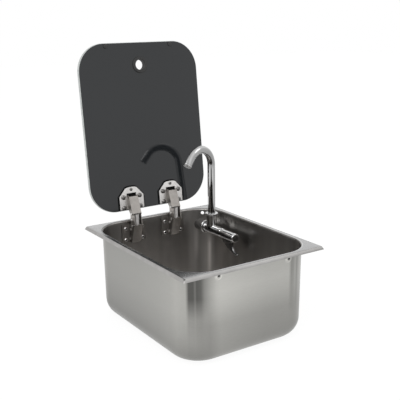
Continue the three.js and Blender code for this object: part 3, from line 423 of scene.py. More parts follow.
def outer_steel():
    """Brushed outer walls, with painted reflections: the soft streaks that a studio throws on them, dark
    lines on the right end of the front wall and bright rings round the dimples, and painted shade that
    darkens the walls towards the bottom. They are placed by height and by across, the distance round the
    corner from the left wall to the front wall."""
    finish = Finish("steel_outside", Metallic=1.0)
    x, y, height = finish.axes()
    across = x - y - (wall_y - wall_x)
    near_corner = x + y < -0.10
    front_half = y < 0
    # Painted reflections: the tone of the walls, lighter or darker round the corner.
    around = finish.profile(
        across, (-0.26, 0.285), (-0.148, 0.32), (-0.083, 0.355), (-0.054, 0.38), (-0.032, 0.435),
        (-0.012, 0.415), (0.04, 0.50), (0.06, 0.585), (0.105, 0.53), (0.145, 0.49), (0.19, 0.485),
        (0.214, 0.40))
    # Painted shade: the walls darken towards the bottom.
    left_fall = finish.profile(
        height, (0, 0.52), (0.026, 0.68), (0.05, 0.83), (0.085, 0.97), (0.114, 1), (0.14, 0.97))
    front_fall = finish.profile(
        height, (0, 0.48), (0.037, 0.55), (0.066, 0.60), (0.097, 0.79), (0.118, 0.87), (0.146, 0.81))
    on_front = finish.profile(across, (0, 0), (0.04, 1))
    fall = left_fall + (front_fall - left_fall) * on_front
    # Painted reflection: a dark streak down the near corner, fading lower down.
    streak = finish.profile(
        across, (-0.010, 0), (-0.003, 1), (0.007, 1), (0.0108, 0.78), (0.014, 1), (0.023, 0.92),
        (0.030, 0.55), (0.040, 0.22), (0.052, 0))
    streak_fade = finish.profile(height, (0.04, 0.08), (0.076, 0.26), (0.094, 0.54), (0.110, 0.76))
    # Painted reflection: dark lines on the curved right end of the front wall.
    far_lines = finish.profile(
        x, (0.068, 0), (0.0735, 0.38), (0.078, 0.3), (0.0825, 0.12), (0.087, 0.4), (0.091, 0.12),
        (0.098, 0))
    far_fade = finish.profile(height, (0.05, 0), (0.12, 1))
    # Painted highlight: a bright ring round each dimple.
    from_dimple = ((x.absolute() - rest_x).squared() + (height - rest_z).squared()).root()
    dimple_ring_highlight = finish.profile(
        from_dimple, (0, 0), (0.0034, 0), (0.0048, 0.45), (0.0060, 0.3), (0.0072, 0))
    brushed = finish.noise(120, (1, 1, 14))
    grain = finish.shades(brushed, (0.97, 0.96, 0.91, 1), (1.03, 1.02, 0.97, 1))
    finish.tint(around, fall, grain, 1 - streak * streak_fade * near_corner,
                1 - far_lines * far_fade * front_half, 1 + dimple_ring_highlight * front_half)
    finish.roughen(brushed, 0.26, 0.12)
    finish.bump(finish.noise(300, (1, 1, 0.06)), 0.00002)
    return finish


def lip_steel():
    """The turned-down edge, painted darker along the front than on the left as shade, with a dot of painted
    shade between for a small mitre hole.
    """
    finish = Finish("steel_lip", Metallic=1.0)
    x, y, z = finish.axes()
    # Painted shade: darker along the front than on the left.
    along = finish.profile(x - y, (-0.29, 0.94), (0.022, 1), (0.040, 0.82), (0.15, 0.80), (0.29, 0.66))
    # Painted shade: a dark dot at the front left corner stands for a small mitre hole.
    beside, before, below = x + 0.1292, y + 0.1592, (z - (rim_z - 0.0008)) * 0.5
    from_corner = (beside.squared() + before.squared() + below.squared()).root()
    mitre_hole_shade = finish.profile(from_corner, (0, 0.8), (0.0010, 0.8), (0.0018, 0))
    rolled = finish.noise(90)
    finish.tint(finish.shades(rolled, grey(0.35, 0.02), grey(0.42, 0.02)), along, 1 - mitre_hole_shade)
    finish.roughen(rolled, 0.32, 0.1)
    return finish


def rim_steel():
    """The flat rim. A fine line follows the mouth: painted shade along the left side and a painted highlight
    elsewhere.
    """
    finish = Finish("steel_rim", Metallic=1.0)
    x, y, z = finish.axes()
    past_corner_x = (x.absolute() - (wall_x - wall_corner)).at_least(0)
    past_corner_y = (y.absolute() - (wall_y - wall_corner)).at_least(0)
    from_mouth = (past_corner_x.squared() + past_corner_y.squared()).root() - wall_corner
    # Painted shade on the left and a painted highlight elsewhere, along the mouth.
    mouth_line = finish.profile(from_mouth, (-0.002, 1), (0.0014, 1), (0.0024, 0))
    left_side = x - y < 0
    polished = finish.noise(90)
    finish.tint(finish.shades(polished, grey(0.385), grey(0.435)), 1 - mouth_line * left_side * 0.75,
                1 + mouth_line * (1 - left_side) * 0.5)
    finish.roughen(polished, 0.2, 0.1)
    return finish


def inner_steel():
    """Drawn inner walls, with painted reflections and painted shade: two bright bands in the far corner,
    painted glints behind the tap, and darker and lighter tones by height and by side. They are placed by
    height and by across, from the rear left corner to the front right one."""
    finish = Finish("steel_inside", Metallic=1.0)
    x, y, height = finish.axes()
    across = x - y
    far_corner = x + y > 0.2
    # Painted reflections: two bright bands down the curved far corner.
    left_band = finish.profile(across, (-0.064, 0), (-0.0535, 0.62), (-0.046, 0))
    left_part = finish.profile(height, (0.05, 0), (0.075, 0.6), (0.105, 1), (0.128, 0))
    right_band = finish.profile(across, (-0.027, 0), (-0.0189, 0.95), (-0.012, 0))
    right_part = finish.profile(height, (0.03, 0.5), (0.085, 1), (0.105, 0))
    bands = (left_band * left_part + right_band * right_part) * far_corner
    # Painted shade and reflection: darker towards the mouth, and lighter or darker by side round the walls.
    depth_tone = finish.profile(height, (0.04, 0.86), (0.078, 0.92), (0.113, 0.80), (0.140, 0.66))
    side_tone = finish.profile(
        across, (-0.27, 0.68), (-0.215, 0.85), (-0.12, 1), (-0.07, 1), (-0.05, 0.78), (-0.012, 0.78),
        (0.025, 1), (0.06, 0.74), (0.12, 0.74), (0.17, 0.92))
    # Painted glints: bright patches high on the wall behind the tap.
    glint_patches = finish.ramp(finish.noise(70), (0.46, grey(0)), (0.58, grey(1)))
    behind_tap = finish.profile(across, (-0.02, 0), (-0.005, 1), (0.045, 1), (0.075, 0))
    upper_part = finish.profile(height, (0.125, 0), (0.132, 1), (0.143, 1), (0.149, 0))
    glints = glint_patches * behind_tap * upper_part
    drawn = finish.noise(60, (1, 1, 0.05))
    finish.tint(finish.shades(drawn, grey(0.50, 0.034), grey(0.57, 0.034)), 1 + bands, depth_tone,
                side_tone, 1 + glints * 1.5)
    finish.roughen(drawn, 0.24, 0.15)
    return finish


steel_outside, steel_rim = outer_steel(), rim_steel()
piece("bowl_steel", bowl_bm, [steel_outside, lip_steel(), steel_rim, inner_steel()],
      "sink", "stainless", "bowl")


# Lid glass. A 6 mm pane of toughened tinted glass with round corners, ground edges and a hole near
# its free end for the grip ring. It stands open on its two hinges, leaning back a little.
lid_place = Matrix.Translation((0, 0.155, 0.1705)) @ Matrix.Rotation(math.radians(83.5), 4, "X")
pane_x, pane_y = 0.1195, 0.148
pane_corner = 0.050
pane_thick = 0.006
pane_bevel = 0.0008
grip_y = 0.2565


def pane_line(inset, z):
    return rounded_line(pane_x - inset, pane_y - inset, pane_corner - inset, z, 24)


pane_bm = bmesh.new()
loop = start(pane_bm, pane_line(pane_bevel, -pane_thick))
cap_end(pane_bm, loop)
for inset, z in ((0, pane_bevel - pane_thick), (0, -pane_bevel), (pane_bevel, 0)):
    loop = grow(pane_bm, loop, pane_line(inset, z), 1)
cap_end(pane_bm, loop)
close_up(pane_bm)
bmesh.ops.translate(pane_bm, verts=pane_bm.verts, vec=(0, pane_y, 0))
finger_hole = bmesh.new()
rod(finger_hole, 0.0123, (0, grip_y, -pane_thick - through), (0, grip_y, through), 48)
pane_bm = carve(pane_bm, finger_hole)
tinted = Finish("tinted_glass", Roughness=0.06, IOR=1.5)
depth = tinted.noise(3, detail=1)
tinted.set("Base Color", tinted.ramp(
    depth, (0.2, (0.0115, 0.0131, 0.0147, 1)), (0.8, (0.0155, 0.0172, 0.0192, 1))))
ground = Finish("ground_edge", Roughness=0.4, IOR=1.5)
frosting = ground.noise(200)
ground.set("Base Color", ground.shades(frosting, (0.36, 0.38, 0.37, 1), (0.50, 0.52, 0.51, 1)))
piece("lid_pane", pane_bm, [tinted, ground], "lid", "tinted_glass", "lid_glass", place=lid_place)


# Grip ring. A soft black ring pressed into the hole, with a lip on each face of the pane.
# It keeps a small gap to the glass.
def turned(profile, steps=48, closed=False):
    """Spins a line of (radius, z) points round the z axis."""
    bm = bmesh.new()
    verts = [bm.verts.new((radius, 0, z)) for radius, z in profile]
    edges = [bm.edges.new(pair) for pair in zip(verts, verts[1:])]
    if closed:
        edges.append(bm.edges.new((verts[-1], verts[0])))
    bmesh.ops.spin(bm, geom=verts + edges, cent=(0, 0, 0), axis=(0, 0, 1), angle=math.tau,
                   steps=steps, use_merge=True)
    close_up(bm)
    return bm


soft_black = Finish("black_rubber")
pores = soft_black.noise(900)
soft_black.set("Base Color", soft_black.shades(pores, grey(0.010), grey(0.020)))
soft_black.roughen(pores, 0.5, 0.2)
soft_black.bump(pores, 0.00003)
grip_bore, grip_neck, grip_reach = 0.009, 0.012, 0.0145
grip_lip, grip_round, glass_gap = 0.0016, 0.0008, 0.0003
under = -pane_thick - glass_gap
grip_bm = turned([(grip_bore, under - grip_lip), (grip_reach - grip_round, under - grip_lip),
                  (grip_reach, under - grip_round), (grip_reach, under), (grip_neck, under),
                  (grip_neck, glass_gap), (grip_reach, glass_gap), (grip_reach, glass_gap + grip_round),
                  (grip_reach - grip_round, glass_gap + grip_lip), (grip_bore + 0.001, glass_gap + grip_lip),
                  (grip_bore, glass_gap + grip_lip - 0.001)], 64, True)
piece("grip_lips", grip_bm, soft_black, "lid", "black_rubber", "grip_ring",
      place=lid_place @ Matrix.Translation((0, grip_y, 0)))


# Bumpers and rests. Two small black rubber buttons stuck to the pane at its free end, which meet two
# rubber rests when the lid is shut. A rest's stem goes through its dimple of the front wall.
bumper_x, bumper_y = rest_x - 0.0015, 0.2908
bumper_radius, bumper_rise = 0.004, 0.0018
rest_face = -0.15301
rest_stem, rest_head, rest_length = 0.0018, 0.0036, 0.0085
for side, label in ((-1, "left"), (1, "right")):
    button = turned([(0, glass_gap), (bumper_radius, glass_gap), (bumper_radius, 0.0010),
                     (bumper_radius * 0.8, 0.0016), (0.0015, bumper_rise), (0, bumper_rise)], 32)
    piece(f"bumper_{label}", button, soft_black, "lid", "black_rubber", f"lid_bumper_{label}",
          place=lid_place @ Matrix.Translation((side * bumper_x, bumper_y, 0)))
    rest = turned([(0, -0.0012), (rest_stem, -0.0012), (rest_stem, 0.0013), (rest_head, 0.0013),
                   (rest_head, rest_length - 0.0015), (rest_head - 0.001, rest_length), (0, rest_length)], 32)
    inwards = Matrix.Rotation(-math.pi / 2, 4, "X")
    piece(f"rest_{label}", rest, soft_black, "sink", "black_rubber", f"lid_rest_{label}",
          place=Matrix.Translation((side * rest_x, rest_face, rest_z)) @ inwards)


# Hinge plates. Nickel-plated sheet steel, D-shaped with sloped shoulders and a slot, on a black pad
# that shows as a dark outline. Four pan-head screws and a small one above the slot hold each plate.
plate_half, plate_low, plate_high = 0.0243, 0.0022, 0.0419
shoulder = 0.0258
crown_half, crown_rise = 0.0128, 0.0032
pad_margin = 0.0022
slot_half, slot_low, slot_high = 0.0095, 0.0244, 0.0308
screw_x = 0.0164
screw_rows = {"low": 0.0054, "high": 0.0248}
screw_shank, screw_tip, screw_face = 0.0017, 0.0006, 0.0030
centre_screw_y = 0.0374
hinges = ((-hinge_x, "left"), (hinge_x, "right"))


def plate_outline(margin=0.0):
    half, crown = plate_half + margin, plate_high + margin - crown_rise
    points = [(-half, plate_low), (half, plate_low), (half, shoulder)]
    for i in range(13):
        angle = math.pi * i / 12
        points.append((crown_half * math.cos(angle), crown + crown_rise * math.sin(angle)))
    return points + [(-half, shoulder)]


def flat_plate(edge_line, low, high, openings=()):
    """Fills a flat outline, with openings if there are any, and raises it to a plate."""
    bm = bmesh.new()
    edges = []
    for points in (edge_line, *openings):
        verts = [bm.verts.new((x, y, low)) for x, y in points]
        edges += [bm.edges.new(pair) for pair in zip(verts, verts[1:] + verts[:1])]
    filled = bmesh.ops.triangle_fill(bm, use_beauty=True, use_dissolve=True, edges=edges)["geom"]
    faces = [part for part in filled if isinstance(part, bmesh.types.BMFace)]
    raised = bmesh.ops.extrude_face_region(bm, geom=faces)["geom"]
    upper = [part for part in raised if isinstance(part, bmesh.types.BMVert)]
    bmesh.ops.translate(bm, verts=upper, vec=(0, 0, high - low))
    close_up(bm)
    return bm


def bevel(bm, edges, width, segments):
    bmesh.ops.bevel(bm, geom=edges, offset=width, offset_type="OFFSET", affect="EDGES",
                    segments=segments, profile=0.5, material=-1, clamp_overlap=True)


def soften(bm, width, segments=2):
    """Rounds every edge that is sharper than 30 degrees."""
    sharp = [edge for edge in bm.edges
             if len(edge.link_faces) == 2 and edge.calc_face_angle() > math.radians(30)]
    bevel(bm, sharp, width, segments)


def metal(name, fineness, dark, light, warmth, least_rough, rough_spread, metallic=1.0):
    """A plated or cast surface: two close shades in a grain that also varies the gloss."""
    finish = Finish(name, Metallic=metallic)
    grain = finish.noise(fineness)
    finish.set("Base Color", finish.shades(grain, grey(dark, warmth), grey(light, warmth)))
    finish.roughen(grain, least_rough, rough_spread)
    return finish


def pan_head(head, rise):
    """A screw with a domed head and a cross slot."""
    face = screw_face
    bm = turned([(0, screw_tip), (screw_shank, screw_tip), (screw_shank, face), (head, face),
                 (head, face + rise * 0.35), (head * 0.92, face + rise * 0.6),
                 (head * 0.72, face + rise * 0.85), (head * 0.4, face + rise), (0, face + rise)], 24)
    long, short, deep = head, head * 0.24, rise * 1.1
    for size in ((long, short, deep, 1), (short, long, deep, 1)):
        groove = bmesh.new()
        place = Matrix.Translation((0, 0, face + rise)) @ Matrix.Diagonal(size)
        bmesh.ops.create_cube(groove, size=1, matrix=place)
        bm = carve(bm, groove)
    return bm


pad_black = Finish("pad_black", Roughness=0.8, Specular_IOR_Level=0.08)
pad_black.set("Base Color", pad_black.shades(pad_black.noise(900), grey(0.004), grey(0.009)))
nickel = metal("nickel_plate", 150, 0.66, 0.80, 0.02, 0.28, 0.15)
# Painted reflection: the screw heads are a dark steel, for the dark surroundings their domes mirror.
screw_steel = metal("screw_steel", 400, 0.16, 0.24, 0.03, 0.18, 0.1)
slot_outline = [(-slot_half, slot_low), (slot_half, slot_low),
                (slot_half, slot_high), (-slot_half, slot_high)]
for centre, label in hinges:
    hinge_place = lid_place @ Matrix.Translation((centre, 0, 0))
    pad = flat_plate(plate_outline(pad_margin), glass_gap, 0.0009)
    piece(f"pad_{label}", pad, pad_black, "lid", "black_rubber", f"hinge_pad_{label}", place=hinge_place)
    cover = flat_plate(plate_outline(), 0.0012, 0.0027, [slot_outline])
    soften(cover, 0.0003)
    piece(f"plate_{label}", cover, nickel, "lid", "plated_steel", f"hinge_plate_{label}",
          place=hinge_place, sharp=18)
    for side, key in ((-1, "a"), (1, "b")):
        for row, height in screw_rows.items():
            driven = Matrix.Rotation(0.4 * side + height * 40, 4, "Z")
            spot = Matrix.Translation((side * screw_x, height, 0))
            piece(f"screw_{label}_{row}_{key}", pan_head(0.0042, 0.0022), screw_steel, "lid", "plated_steel",
                  f"plate_screw_{label}_{row}_{key}", place=hinge_place @ spot @ driven)
    piece(f"small_screw_{label}", pan_head(0.0028, 0.0011), screw_steel, "lid", "plated_steel",
          f"centre_screw_{label}", place=hinge_place @ Matrix.Translation((0, centre_screw_y, 0)))


# Hinge arms. A pressed channel of nickel-plated sheet, whose open back stands on the plate below the slot. It
# slopes away from the glass down to the lid's pivot, and its left cheek is painted darker as shade.
def thicken(bm, inner_point, thick=0.0012):
    """Gives a sheet its thickness, on the side where inner_point lies."""
    face = max(bm.faces, key=lambda f: f.calc_area())
    if (Vector(inner_point) - face.calc_center_median()).dot(face.normal) > 0:
        bmesh.ops.reverse_faces(bm, faces=bm.faces)
    bmesh.ops.solidify(bm, geom=bm.faces, thickness=thick)
    bmesh.ops.recalc_face_normals(bm, faces=bm.faces)


def pressed(sheets, bend, inner_point):
    """Joins flat sheets of points at their common edges, rounds the folds and thickens them."""
    bm = bmesh.new()
    for points in sheets:
        bm.faces.new([bm.verts.new(point) for point in points])
    close_up(bm)
    bevel(bm, [edge for edge in bm.edges if len(edge.link_faces) == 2], bend, 5)
    thicken(bm, inner_point)
    return bm


nickel_warm = metal("nickel_arm", 140, 0.31, 0.37, 0.06, 0.3, 0.15)
nickel_dark = metal("nickel_bracket", 110, 0.25, 0.31, 0.06, 0.3, 0.15)
slope = math.radians(15.8)
down = Vector((0, -math.cos(slope), math.sin(slope)))
out = Vector((0, math.sin(slope), math.cos(slope)))
pivot_y, pivot_z = 0.1394, rim_z + 0.0144
pivot = lid_place.inverted() @ Vector((0, pivot_y, pivot_z))
arm_front = Vector((0, 0.0255, 0.0098))
arm_end = arm_front + down * 0.0313
arm_half = Vector((0.009, 0, 0))
arm_foot = 0.0030
eye_radius = 0.0032
arm_side = [Vector((0, 0.0280, arm_foot)), Vector((0, 0.0020, arm_foot)),
            pivot - down * 0.0023 - out * 0.0065]
for degrees in range(-45, 61, 15):
    angle = math.radians(degrees)
    arm_side.append(pivot + (down * math.cos(angle) + out * math.sin(angle)) * eye_radius)
arm_side += [arm_end, arm_front]
for centre, label in hinges:
    cheeks = [[point + offset for point in arm_side] for offset in (-arm_half, arm_half)]
    front = [arm_front - arm_half, arm_front + arm_half, arm_end + arm_half, arm_end - arm_half]
    arm_bm = pressed([*cheeks, front], 0.0022, (arm_front + arm_end) / 2 - out * 0.004)
    # Painted shade: faces turned to the left take the darker nickel.
    for face in arm_bm.faces:
        face.material_index = 1 if face.normal.x < -0.8 else 0
    piece(f"arm_{label}", arm_bm, [nickel_warm, nickel_dark], "lid", "plated_steel", f"lid_arm_{label}",
          place=lid_place @ Matrix.Translation((centre, 0, 0)))


# Brackets. A folded hat-section of plated sheet with a flange on each side, deeper at its top.
# It is riveted to the rear wall.
wall_face = 0.15138
bracket_half, flange_half = 0.0094, 0.02425
bracket_top, bracket_low = rim_z - 0.006, rim_z - 0.040
flange_y = wall_face - 0.0012
for centre, label in hinges:
    levels = []
    for z, reach in ((bracket_low, 0.0099), (bracket_top, 0.0202)):
        front_y = wall_face - reach
        levels.append([(-flange_half, flange_y, z), (-bracket_half, flange_y, z), (-bracket_half, front_y, z),
                       (bracket_half, front_y, z), (bracket_half, flange_y, z), (flange_half, flange_y, z)])
    low, high = levels
    strips = [[low[i], low[i + 1], high[i + 1], high[i]] for i in range(5)]
    bracket_bm = pressed(strips, 0.0014, (0, wall_face, rim_z - 0.02))
    piece(f"bracket_{label}", bracket_bm, nickel_dark, "sink", "plated_steel", f"hinge_bracket_{label}",
          place=Matrix.Translation((centre, 0, 0)))


# Front links. A half-round channel of bright plated sheet with an ear on each side at its top, which stands
# in the bracket on a pin and carries the lid's pivot. Its brightness is partly painted: a painted highlight
# runs down its middle, and its rolled sides are painted darker as shade.
def link_nickel():
    finish = Finish("nickel_link", Metallic=0.55)
    # Painted highlight down the middle of the half-round, and painted shade on its rolled sides.
    from_middle = (finish.axes()[0].absolute() - hinge_x).absolute()
    highlight_and_side_shade = finish.profile(from_middle, (0, 1), (0.0022, 0.95), (0.0036, 0.42), (0.0050, 0.30))
    fine = finish.noise(140)
    finish.tint(finish.shades(fine, grey(0.82, 0.02), grey(0.92, 0.02)), highlight_and_side_shade)
    finish.roughen(fine, 0.3, 0.15)
    return finish


nickel_link = link_nickel()
link_radius = 0.005
link_front = pivot_y - 0.005
link_back = link_front + 0.0068
link_top = pivot_z - 0.0015
pin_low_y, pin_low_z = pivot_y - 0.001, rim_z - 0.0083
link_low = pin_low_z - 0.0028
ear_size = (0.0012, 0.0042, 0.0088, 1)
for centre, label in hinges:
    link_bm = bmesh.new()
    section = [(-link_radius, link_back)]
    for i in range(17):
        angle = math.pi * i / 16
        section.append((-link_radius * math.cos(angle), link_front + link_radius * (1 - math.sin(angle))))
    section.append((link_radius, link_back))
    verts = [link_bm.verts.new((x, y, link_low)) for x, y in section]
    edges = [link_bm.edges.new(pair) for pair in zip(verts, verts[1:])]
    grown = bmesh.ops.extrude_edge_only(link_bm, edges=edges)["geom"]
    upper = [part for part in grown if isinstance(part, bmesh.types.BMVert)]
    bmesh.ops.translate(link_bm, verts=upper, vec=(0, 0, link_top - link_low))
    thicken(link_bm, (0, link_front + 0.006, (link_low + link_top) / 2))
    for side in (-1, 1):
        spot = Matrix.Translation((side * 0.0044, pivot_y + 0.0007, pivot_z - 0.0016))
        bmesh.ops.create_cube(link_bm, size=1, matrix=spot @ Matrix.Diagonal(ear_size))
    piece(f"front_link_{label}_sheet", link_bm, nickel_link, "sink", "plated_steel", f"front_link_{label}",
          place=Matrix.Translation((centre, 0, 0)))


# Rear links. A wider channel of plated sheet behind the front link, which ends in a toe at the
# bracket's mouth. It stands on a pin of its own and reaches round the lid's pivot.
rear_half = 0.0075
pin_back_y, pin_back_z = pivot_y + 0.0049, rim_z - 0.0158
rear_back, rear_low, rear_high = pivot_y + 0.0096, pin_back_z - 0.0028, pivot_z + 0.0028
toe_y, toe_z = pivot_y - 0.008, rim_z - 0.0045
heel_y = pin_back_y - 0.0028
rear_side = [(rear_back, rear_low), (rear_back, rear_high), (pivot_y, rear_high),
             (pivot_y - 0.0014, link_top), (pivot_y - 0.0048, link_top), (toe_y, toe_z),
             (toe_y + 0.0012, toe_z - 0.0012), (heel_y, toe_z - 0.0012), (heel_y, rear_low)]
for centre, label in hinges:
    sheets = [[(x, y, z) for y, z in rear_side] for x in (-rear_half, rear_half)]
    sheets.append([(-rear_half, rear_back, rear_low), (rear_half, rear_back, rear_low),
                   (rear_half, rear_back, rear_high), (-rear_half, rear_back, rear_high)])
    rear_bm = pressed(sheets, 0.0012, (0, pivot_y, rim_z))
    piece(f"rear_link_{label}_sheet", rear_bm, nickel_warm, "sink", "plated_steel", f"rear_link_{label}",
          place=Matrix.Translation((centre, 0, 0)))


# Pins. Plain steel pins with a head riveted over at each end: the lid's pivot, one for each link,
# and the two that keep the cheeks of the rear link and of the bracket apart.
pin_radius, pin_head = 0.0015, 0.0023
pins = (("lid_pin", arm_half.x, pivot_y, pivot_z), ("link_pin", bracket_half, pin_low_y, pin_low_z),
        ("back_pin", bracket_half, pin_back_y, pin_back_z),
        ("link_spacer", rear_half, pivot_y + 0.0038, rim_z + 0.0016),
        ("bracket_spacer", bracket_half, pivot_y + 0.0076, rim_z - 0.0335))
for centre, label in hinges:
    for kind, half, y, z in pins:
        face, end = half + 0.0003, half + 0.0011
        pin = turned([(0, -end), (0.0017, -end), (pin_head, 0.0004 - end), (pin_head, -face),
                      (pin_radius, -face), (pin_radius, face), (pin_head, face), (pin_head, end - 0.0004),
                      (0.0017, end), (0, end)], 20)
        place = Matrix.Translation((centre, y, z)) @ Matrix.Rotation(math.pi / 2, 4, "Y")
        piece(f"{kind}_{label}_steel", pin, nickel, "sink", "plated_steel", f"{kind}_{label}", place=place)


# Rivets. Plated blind rivets with a hollow in the head that is painted black as shade, four for each bracket.
# Their tails stand behind the wall.
rivet_face = wall_face - 0.0015
rivet_tail = wall_y + 0.0003 - rivet_face
rivet_line = [(0, 0.0001), (0.0013, 0.0001), (0.0020, -0.0013), (0.0024, -0.0014), (0.0031, -0.0008),
              (0.0034, 0), (0.0016, 0), (0.0016, rivet_tail), (0.0027, rivet_tail),
              (0.0027, rivet_tail + 0.0011), (0.0020, rivet_tail + 0.0016), (0, rivet_tail + 0.0016)]
hollow_radius = 0.0018
for centre, label in hinges:
    for side, key in ((-1, "a"), (1, "b")):
        for row, z in rivet_rows.items():
            rivet = turned(rivet_line, 24)
            # Painted shade: the faces inside the hollow take the black pad finish.
            for face in rivet.faces:
                middle = face.calc_center_median()
                face.material_index = 1 if middle.xy.length < hollow_radius and middle.z < 0.0002 else 0
            spot = Matrix.Translation((centre + side * rivet_x, rivet_face, z))
            piece(f"rivet_{label}_{row}_{key}", rivet, [nickel, pad_black], "sink", "plated_steel",
                  f"bracket_rivet_{label}_{row}_{key}", place=spot @ Matrix.Rotation(-math.pi / 2, 4, "X"))


# Tap base. Chromed brass: a round flange against the wedge seat, a neck and a core that the swivel
# body and the lever turn on, and a shank through the wall. It lies along y, rear end last.
along_y = Matrix.Translation((tap_x, 0, tap_z)) @ Matrix.Rotation(-math.pi / 2, 4, "X")
chrome = metal("chrome", 60, 0.56, 0.62, 0, 0.05, 0.06)
core_radius, core_front = 0.0046, 0.0340
flange_radius, flange_front, flange_rear = 0.0122, 0.1222, 0.1252
shank_radius, shank_bore, shank_end = 0.0065, 0.004, 0.159
base_bm = turned([(0, core_front), (core_radius, core_front), (core_radius, 0.119), (0.0080, 0.119),
                  (0.0084, 0.1194), (0.0084, flange_front), (0.0112, flange_front), (0.0119, 0.1226),
                  (flange_radius, 0.1233), (flange_radius, flange_rear), (shank_radius, flange_rear),
                  (shank_radius, shank_end), (shank_bore, shank_end), (shank_bore, 0.120), (0, 0.120)], 64)
piece("tap_base_chrome", base_bm, chrome, "sink", "chrome", "tap_base", place=along_y)


# Swivel body. A chromed brass tube with flutes round its front end, which turns on the core to lay
# the spout down, and an upright collar that takes the spout, with a bright crown ring on top.
def body_chrome():
    """Chrome with painted reflections: the stripes that a round body mirrors, placed by upwards, from its
    lower side to its upper one. A line low on the body is less of a mirror than the rest."""
    finish = Finish("chrome_body")
    x, y, z = finish.axes()
    upwards = (x - tap_x) * 0.425 + (z - tap_z) * 0.905
    # Painted reflections: light and dark stripes along the body.
    reflected_stripes = finish.profile(
        upwards, (-0.0089, 0.4), (-0.0082, 1), (-0.0060, 1), (-0.0050, 0.2), (-0.0005, 0.2),
        (0.0010, 0.4), (0.0028, 0.95), (0.0040, 1))
    low_line = finish.profile(upwards, (-0.0086, 1), (-0.0080, 0.35), (-0.0062, 0.35), (-0.0053, 1))
    mist = finish.noise(60)
    finish.tint(finish.shades(mist, grey(0.60), grey(0.68)), reflected_stripes)
    finish.set("Metallic", low_line)
    finish.roughen(mist, 0.05, 0.06)
    return finish


chrome_body = body_chrome()
body_radius, body_front, body_rear = 0.0084, 0.071, 0.1187
edge_round = 0.0006
collar_y = 0.106
collar_radius, collar_top = 0.0095, 0.0275
collar_place = Matrix.Translation((tap_x, collar_y, tap_z))
body_bm = turned([(0, body_front), (body_radius - edge_round, body_front),
                  (body_radius, body_front + edge_round), (body_radius, body_rear - edge_round),
                  (body_radius - edge_round, body_rear), (0, body_rear)], 64)
body_bm.transform(along_y)
collar = turned([(0, 0.0002), (collar_radius, 0.0002), (collar_radius, 0.0268),
                 (collar_radius - edge_round, collar_top), (0, collar_top)], 64)
collar.transform(collar_place)
body_bm = weld(body_bm, collar)
core_bore = bmesh.new()
rod(core_bore, core_radius + 0.0003, (tap_x, 0.06, tap_z), (tap_x, 0.13, tap_z), 48)
body_bm = carve(body_bm, core_bore)
spout_bore_and_flutes = bmesh.new()
spout_radius = 0.007
rod(spout_bore_and_flutes, spout_radius + 0.0003, (tap_x, collar_y, tap_z + 0.0155),
    (tap_x, collar_y, tap_z + 0.04), 48)
for i in range(8):
    angle = math.tau * (i + 0.5) / 8
    x, z = tap_x + body_radius * math.cos(angle), tap_z + body_radius * math.sin(angle)
    rod(spout_bore_and_flutes, 0.0009, (x, 0.07575, z), (x, 0.0927, z), 12)
body_bm = carve(body_bm, spout_bore_and_flutes)
piece("swivel_chrome", body_bm, chrome_body, "swivel", "chrome", "swivel_body")
crown_radius, crown_bore, crown_low, crown_top = 0.0120, 0.0073, 0.0278, 0.0308
crown_round = 0.0007
crown = turned([(crown_bore, crown_low), (crown_radius - crown_round, crown_low),
                (crown_radius, crown_low + crown_round), (crown_radius, crown_top - crown_round),
                (crown_radius - crown_round, crown_top), (crown_bore, crown_top)], 64, True)
piece("crown_chrome", crown, chrome, "swivel", "chrome", "crown_ring", place=collar_place)


# Spout. Bent chromed tube: a straight stem, a swan neck that swings a little to the front, and a
# short straight slope with a nozzle over its end.
neck_radius = 0.0332
neck_low = 0.1213
neck_sweep = math.radians(138)
spout_turn = math.radians(18)


def spout_chrome():
    """Chrome with painted reflections: the stripes that a tube mirrors. On the stem, across runs from left to
    right as the photograph shows it. On the neck, round_neck runs from the bend's inner side to its outer
    one."""
    finish = Finish("chrome_spout", Metallic=1.0)
    x, y, height = finish.axes()
    from_stem_x, from_stem_y = x - tap_x, y - collar_y
    across = from_stem_x * 0.832 - from_stem_y * 0.554
    # Painted reflections: light and dark stripes down the stem.
    stem_reflections = finish.profile(
        across, (-0.007, 0), (-0.0026, 0), (-0.0014, 0.6), (-0.0006, 1.3), (0.0006, 1.1), (0.0016, 0.3),
        (0.0030, 0.05), (0.0040, 0.65), (0.007, 0.65))
    on_stem = finish.profile(height, (0.14, 1), (0.236, 1), (0.246, 0))
    forwards = from_stem_x * 0.951 + from_stem_y * 0.309
    sideways = from_stem_y * 0.951 - from_stem_x * 0.309
    above_bend = height - (tap_z + neck_low)
    outwards = ((forwards + neck_radius).squared() + above_bend.squared()).root() - neck_radius
    round_neck = outwards * 0.635 + sideways * 0.772
    # Painted reflections: light and dark stripes along the neck.
    neck_reflections = finish.profile(
        round_neck, (-0.007, 0.50), (-0.005, 0.58), (-0.003, 0.64), (-0.0010, 0.96), (0.0008, 0.90),
        (0.0024, 0.66), (0.0040, 0.74), (0.0052, 1.45), (0.0064, 1.35), (0.007, 0.9))
    on_neck = finish.profile(height, (0.236, 0), (0.246, 1))
    haze = finish.noise(60)
    finish.tint(finish.shades(haze, grey(0.56), grey(0.62)), 1 - stem_reflections * on_stem * 0.68,
                1 - on_neck * (1 - neck_reflections))
    finish.roughen(haze, 0.05, 0.06)
    return finish


def round_line(place, radius, sides=40):
    points = []
    for i in range(sides):
        angle = math.tau * i / sides
        points.append(place @ Vector((radius * math.cos(angle), radius * math.sin(angle), 0)))
    return points


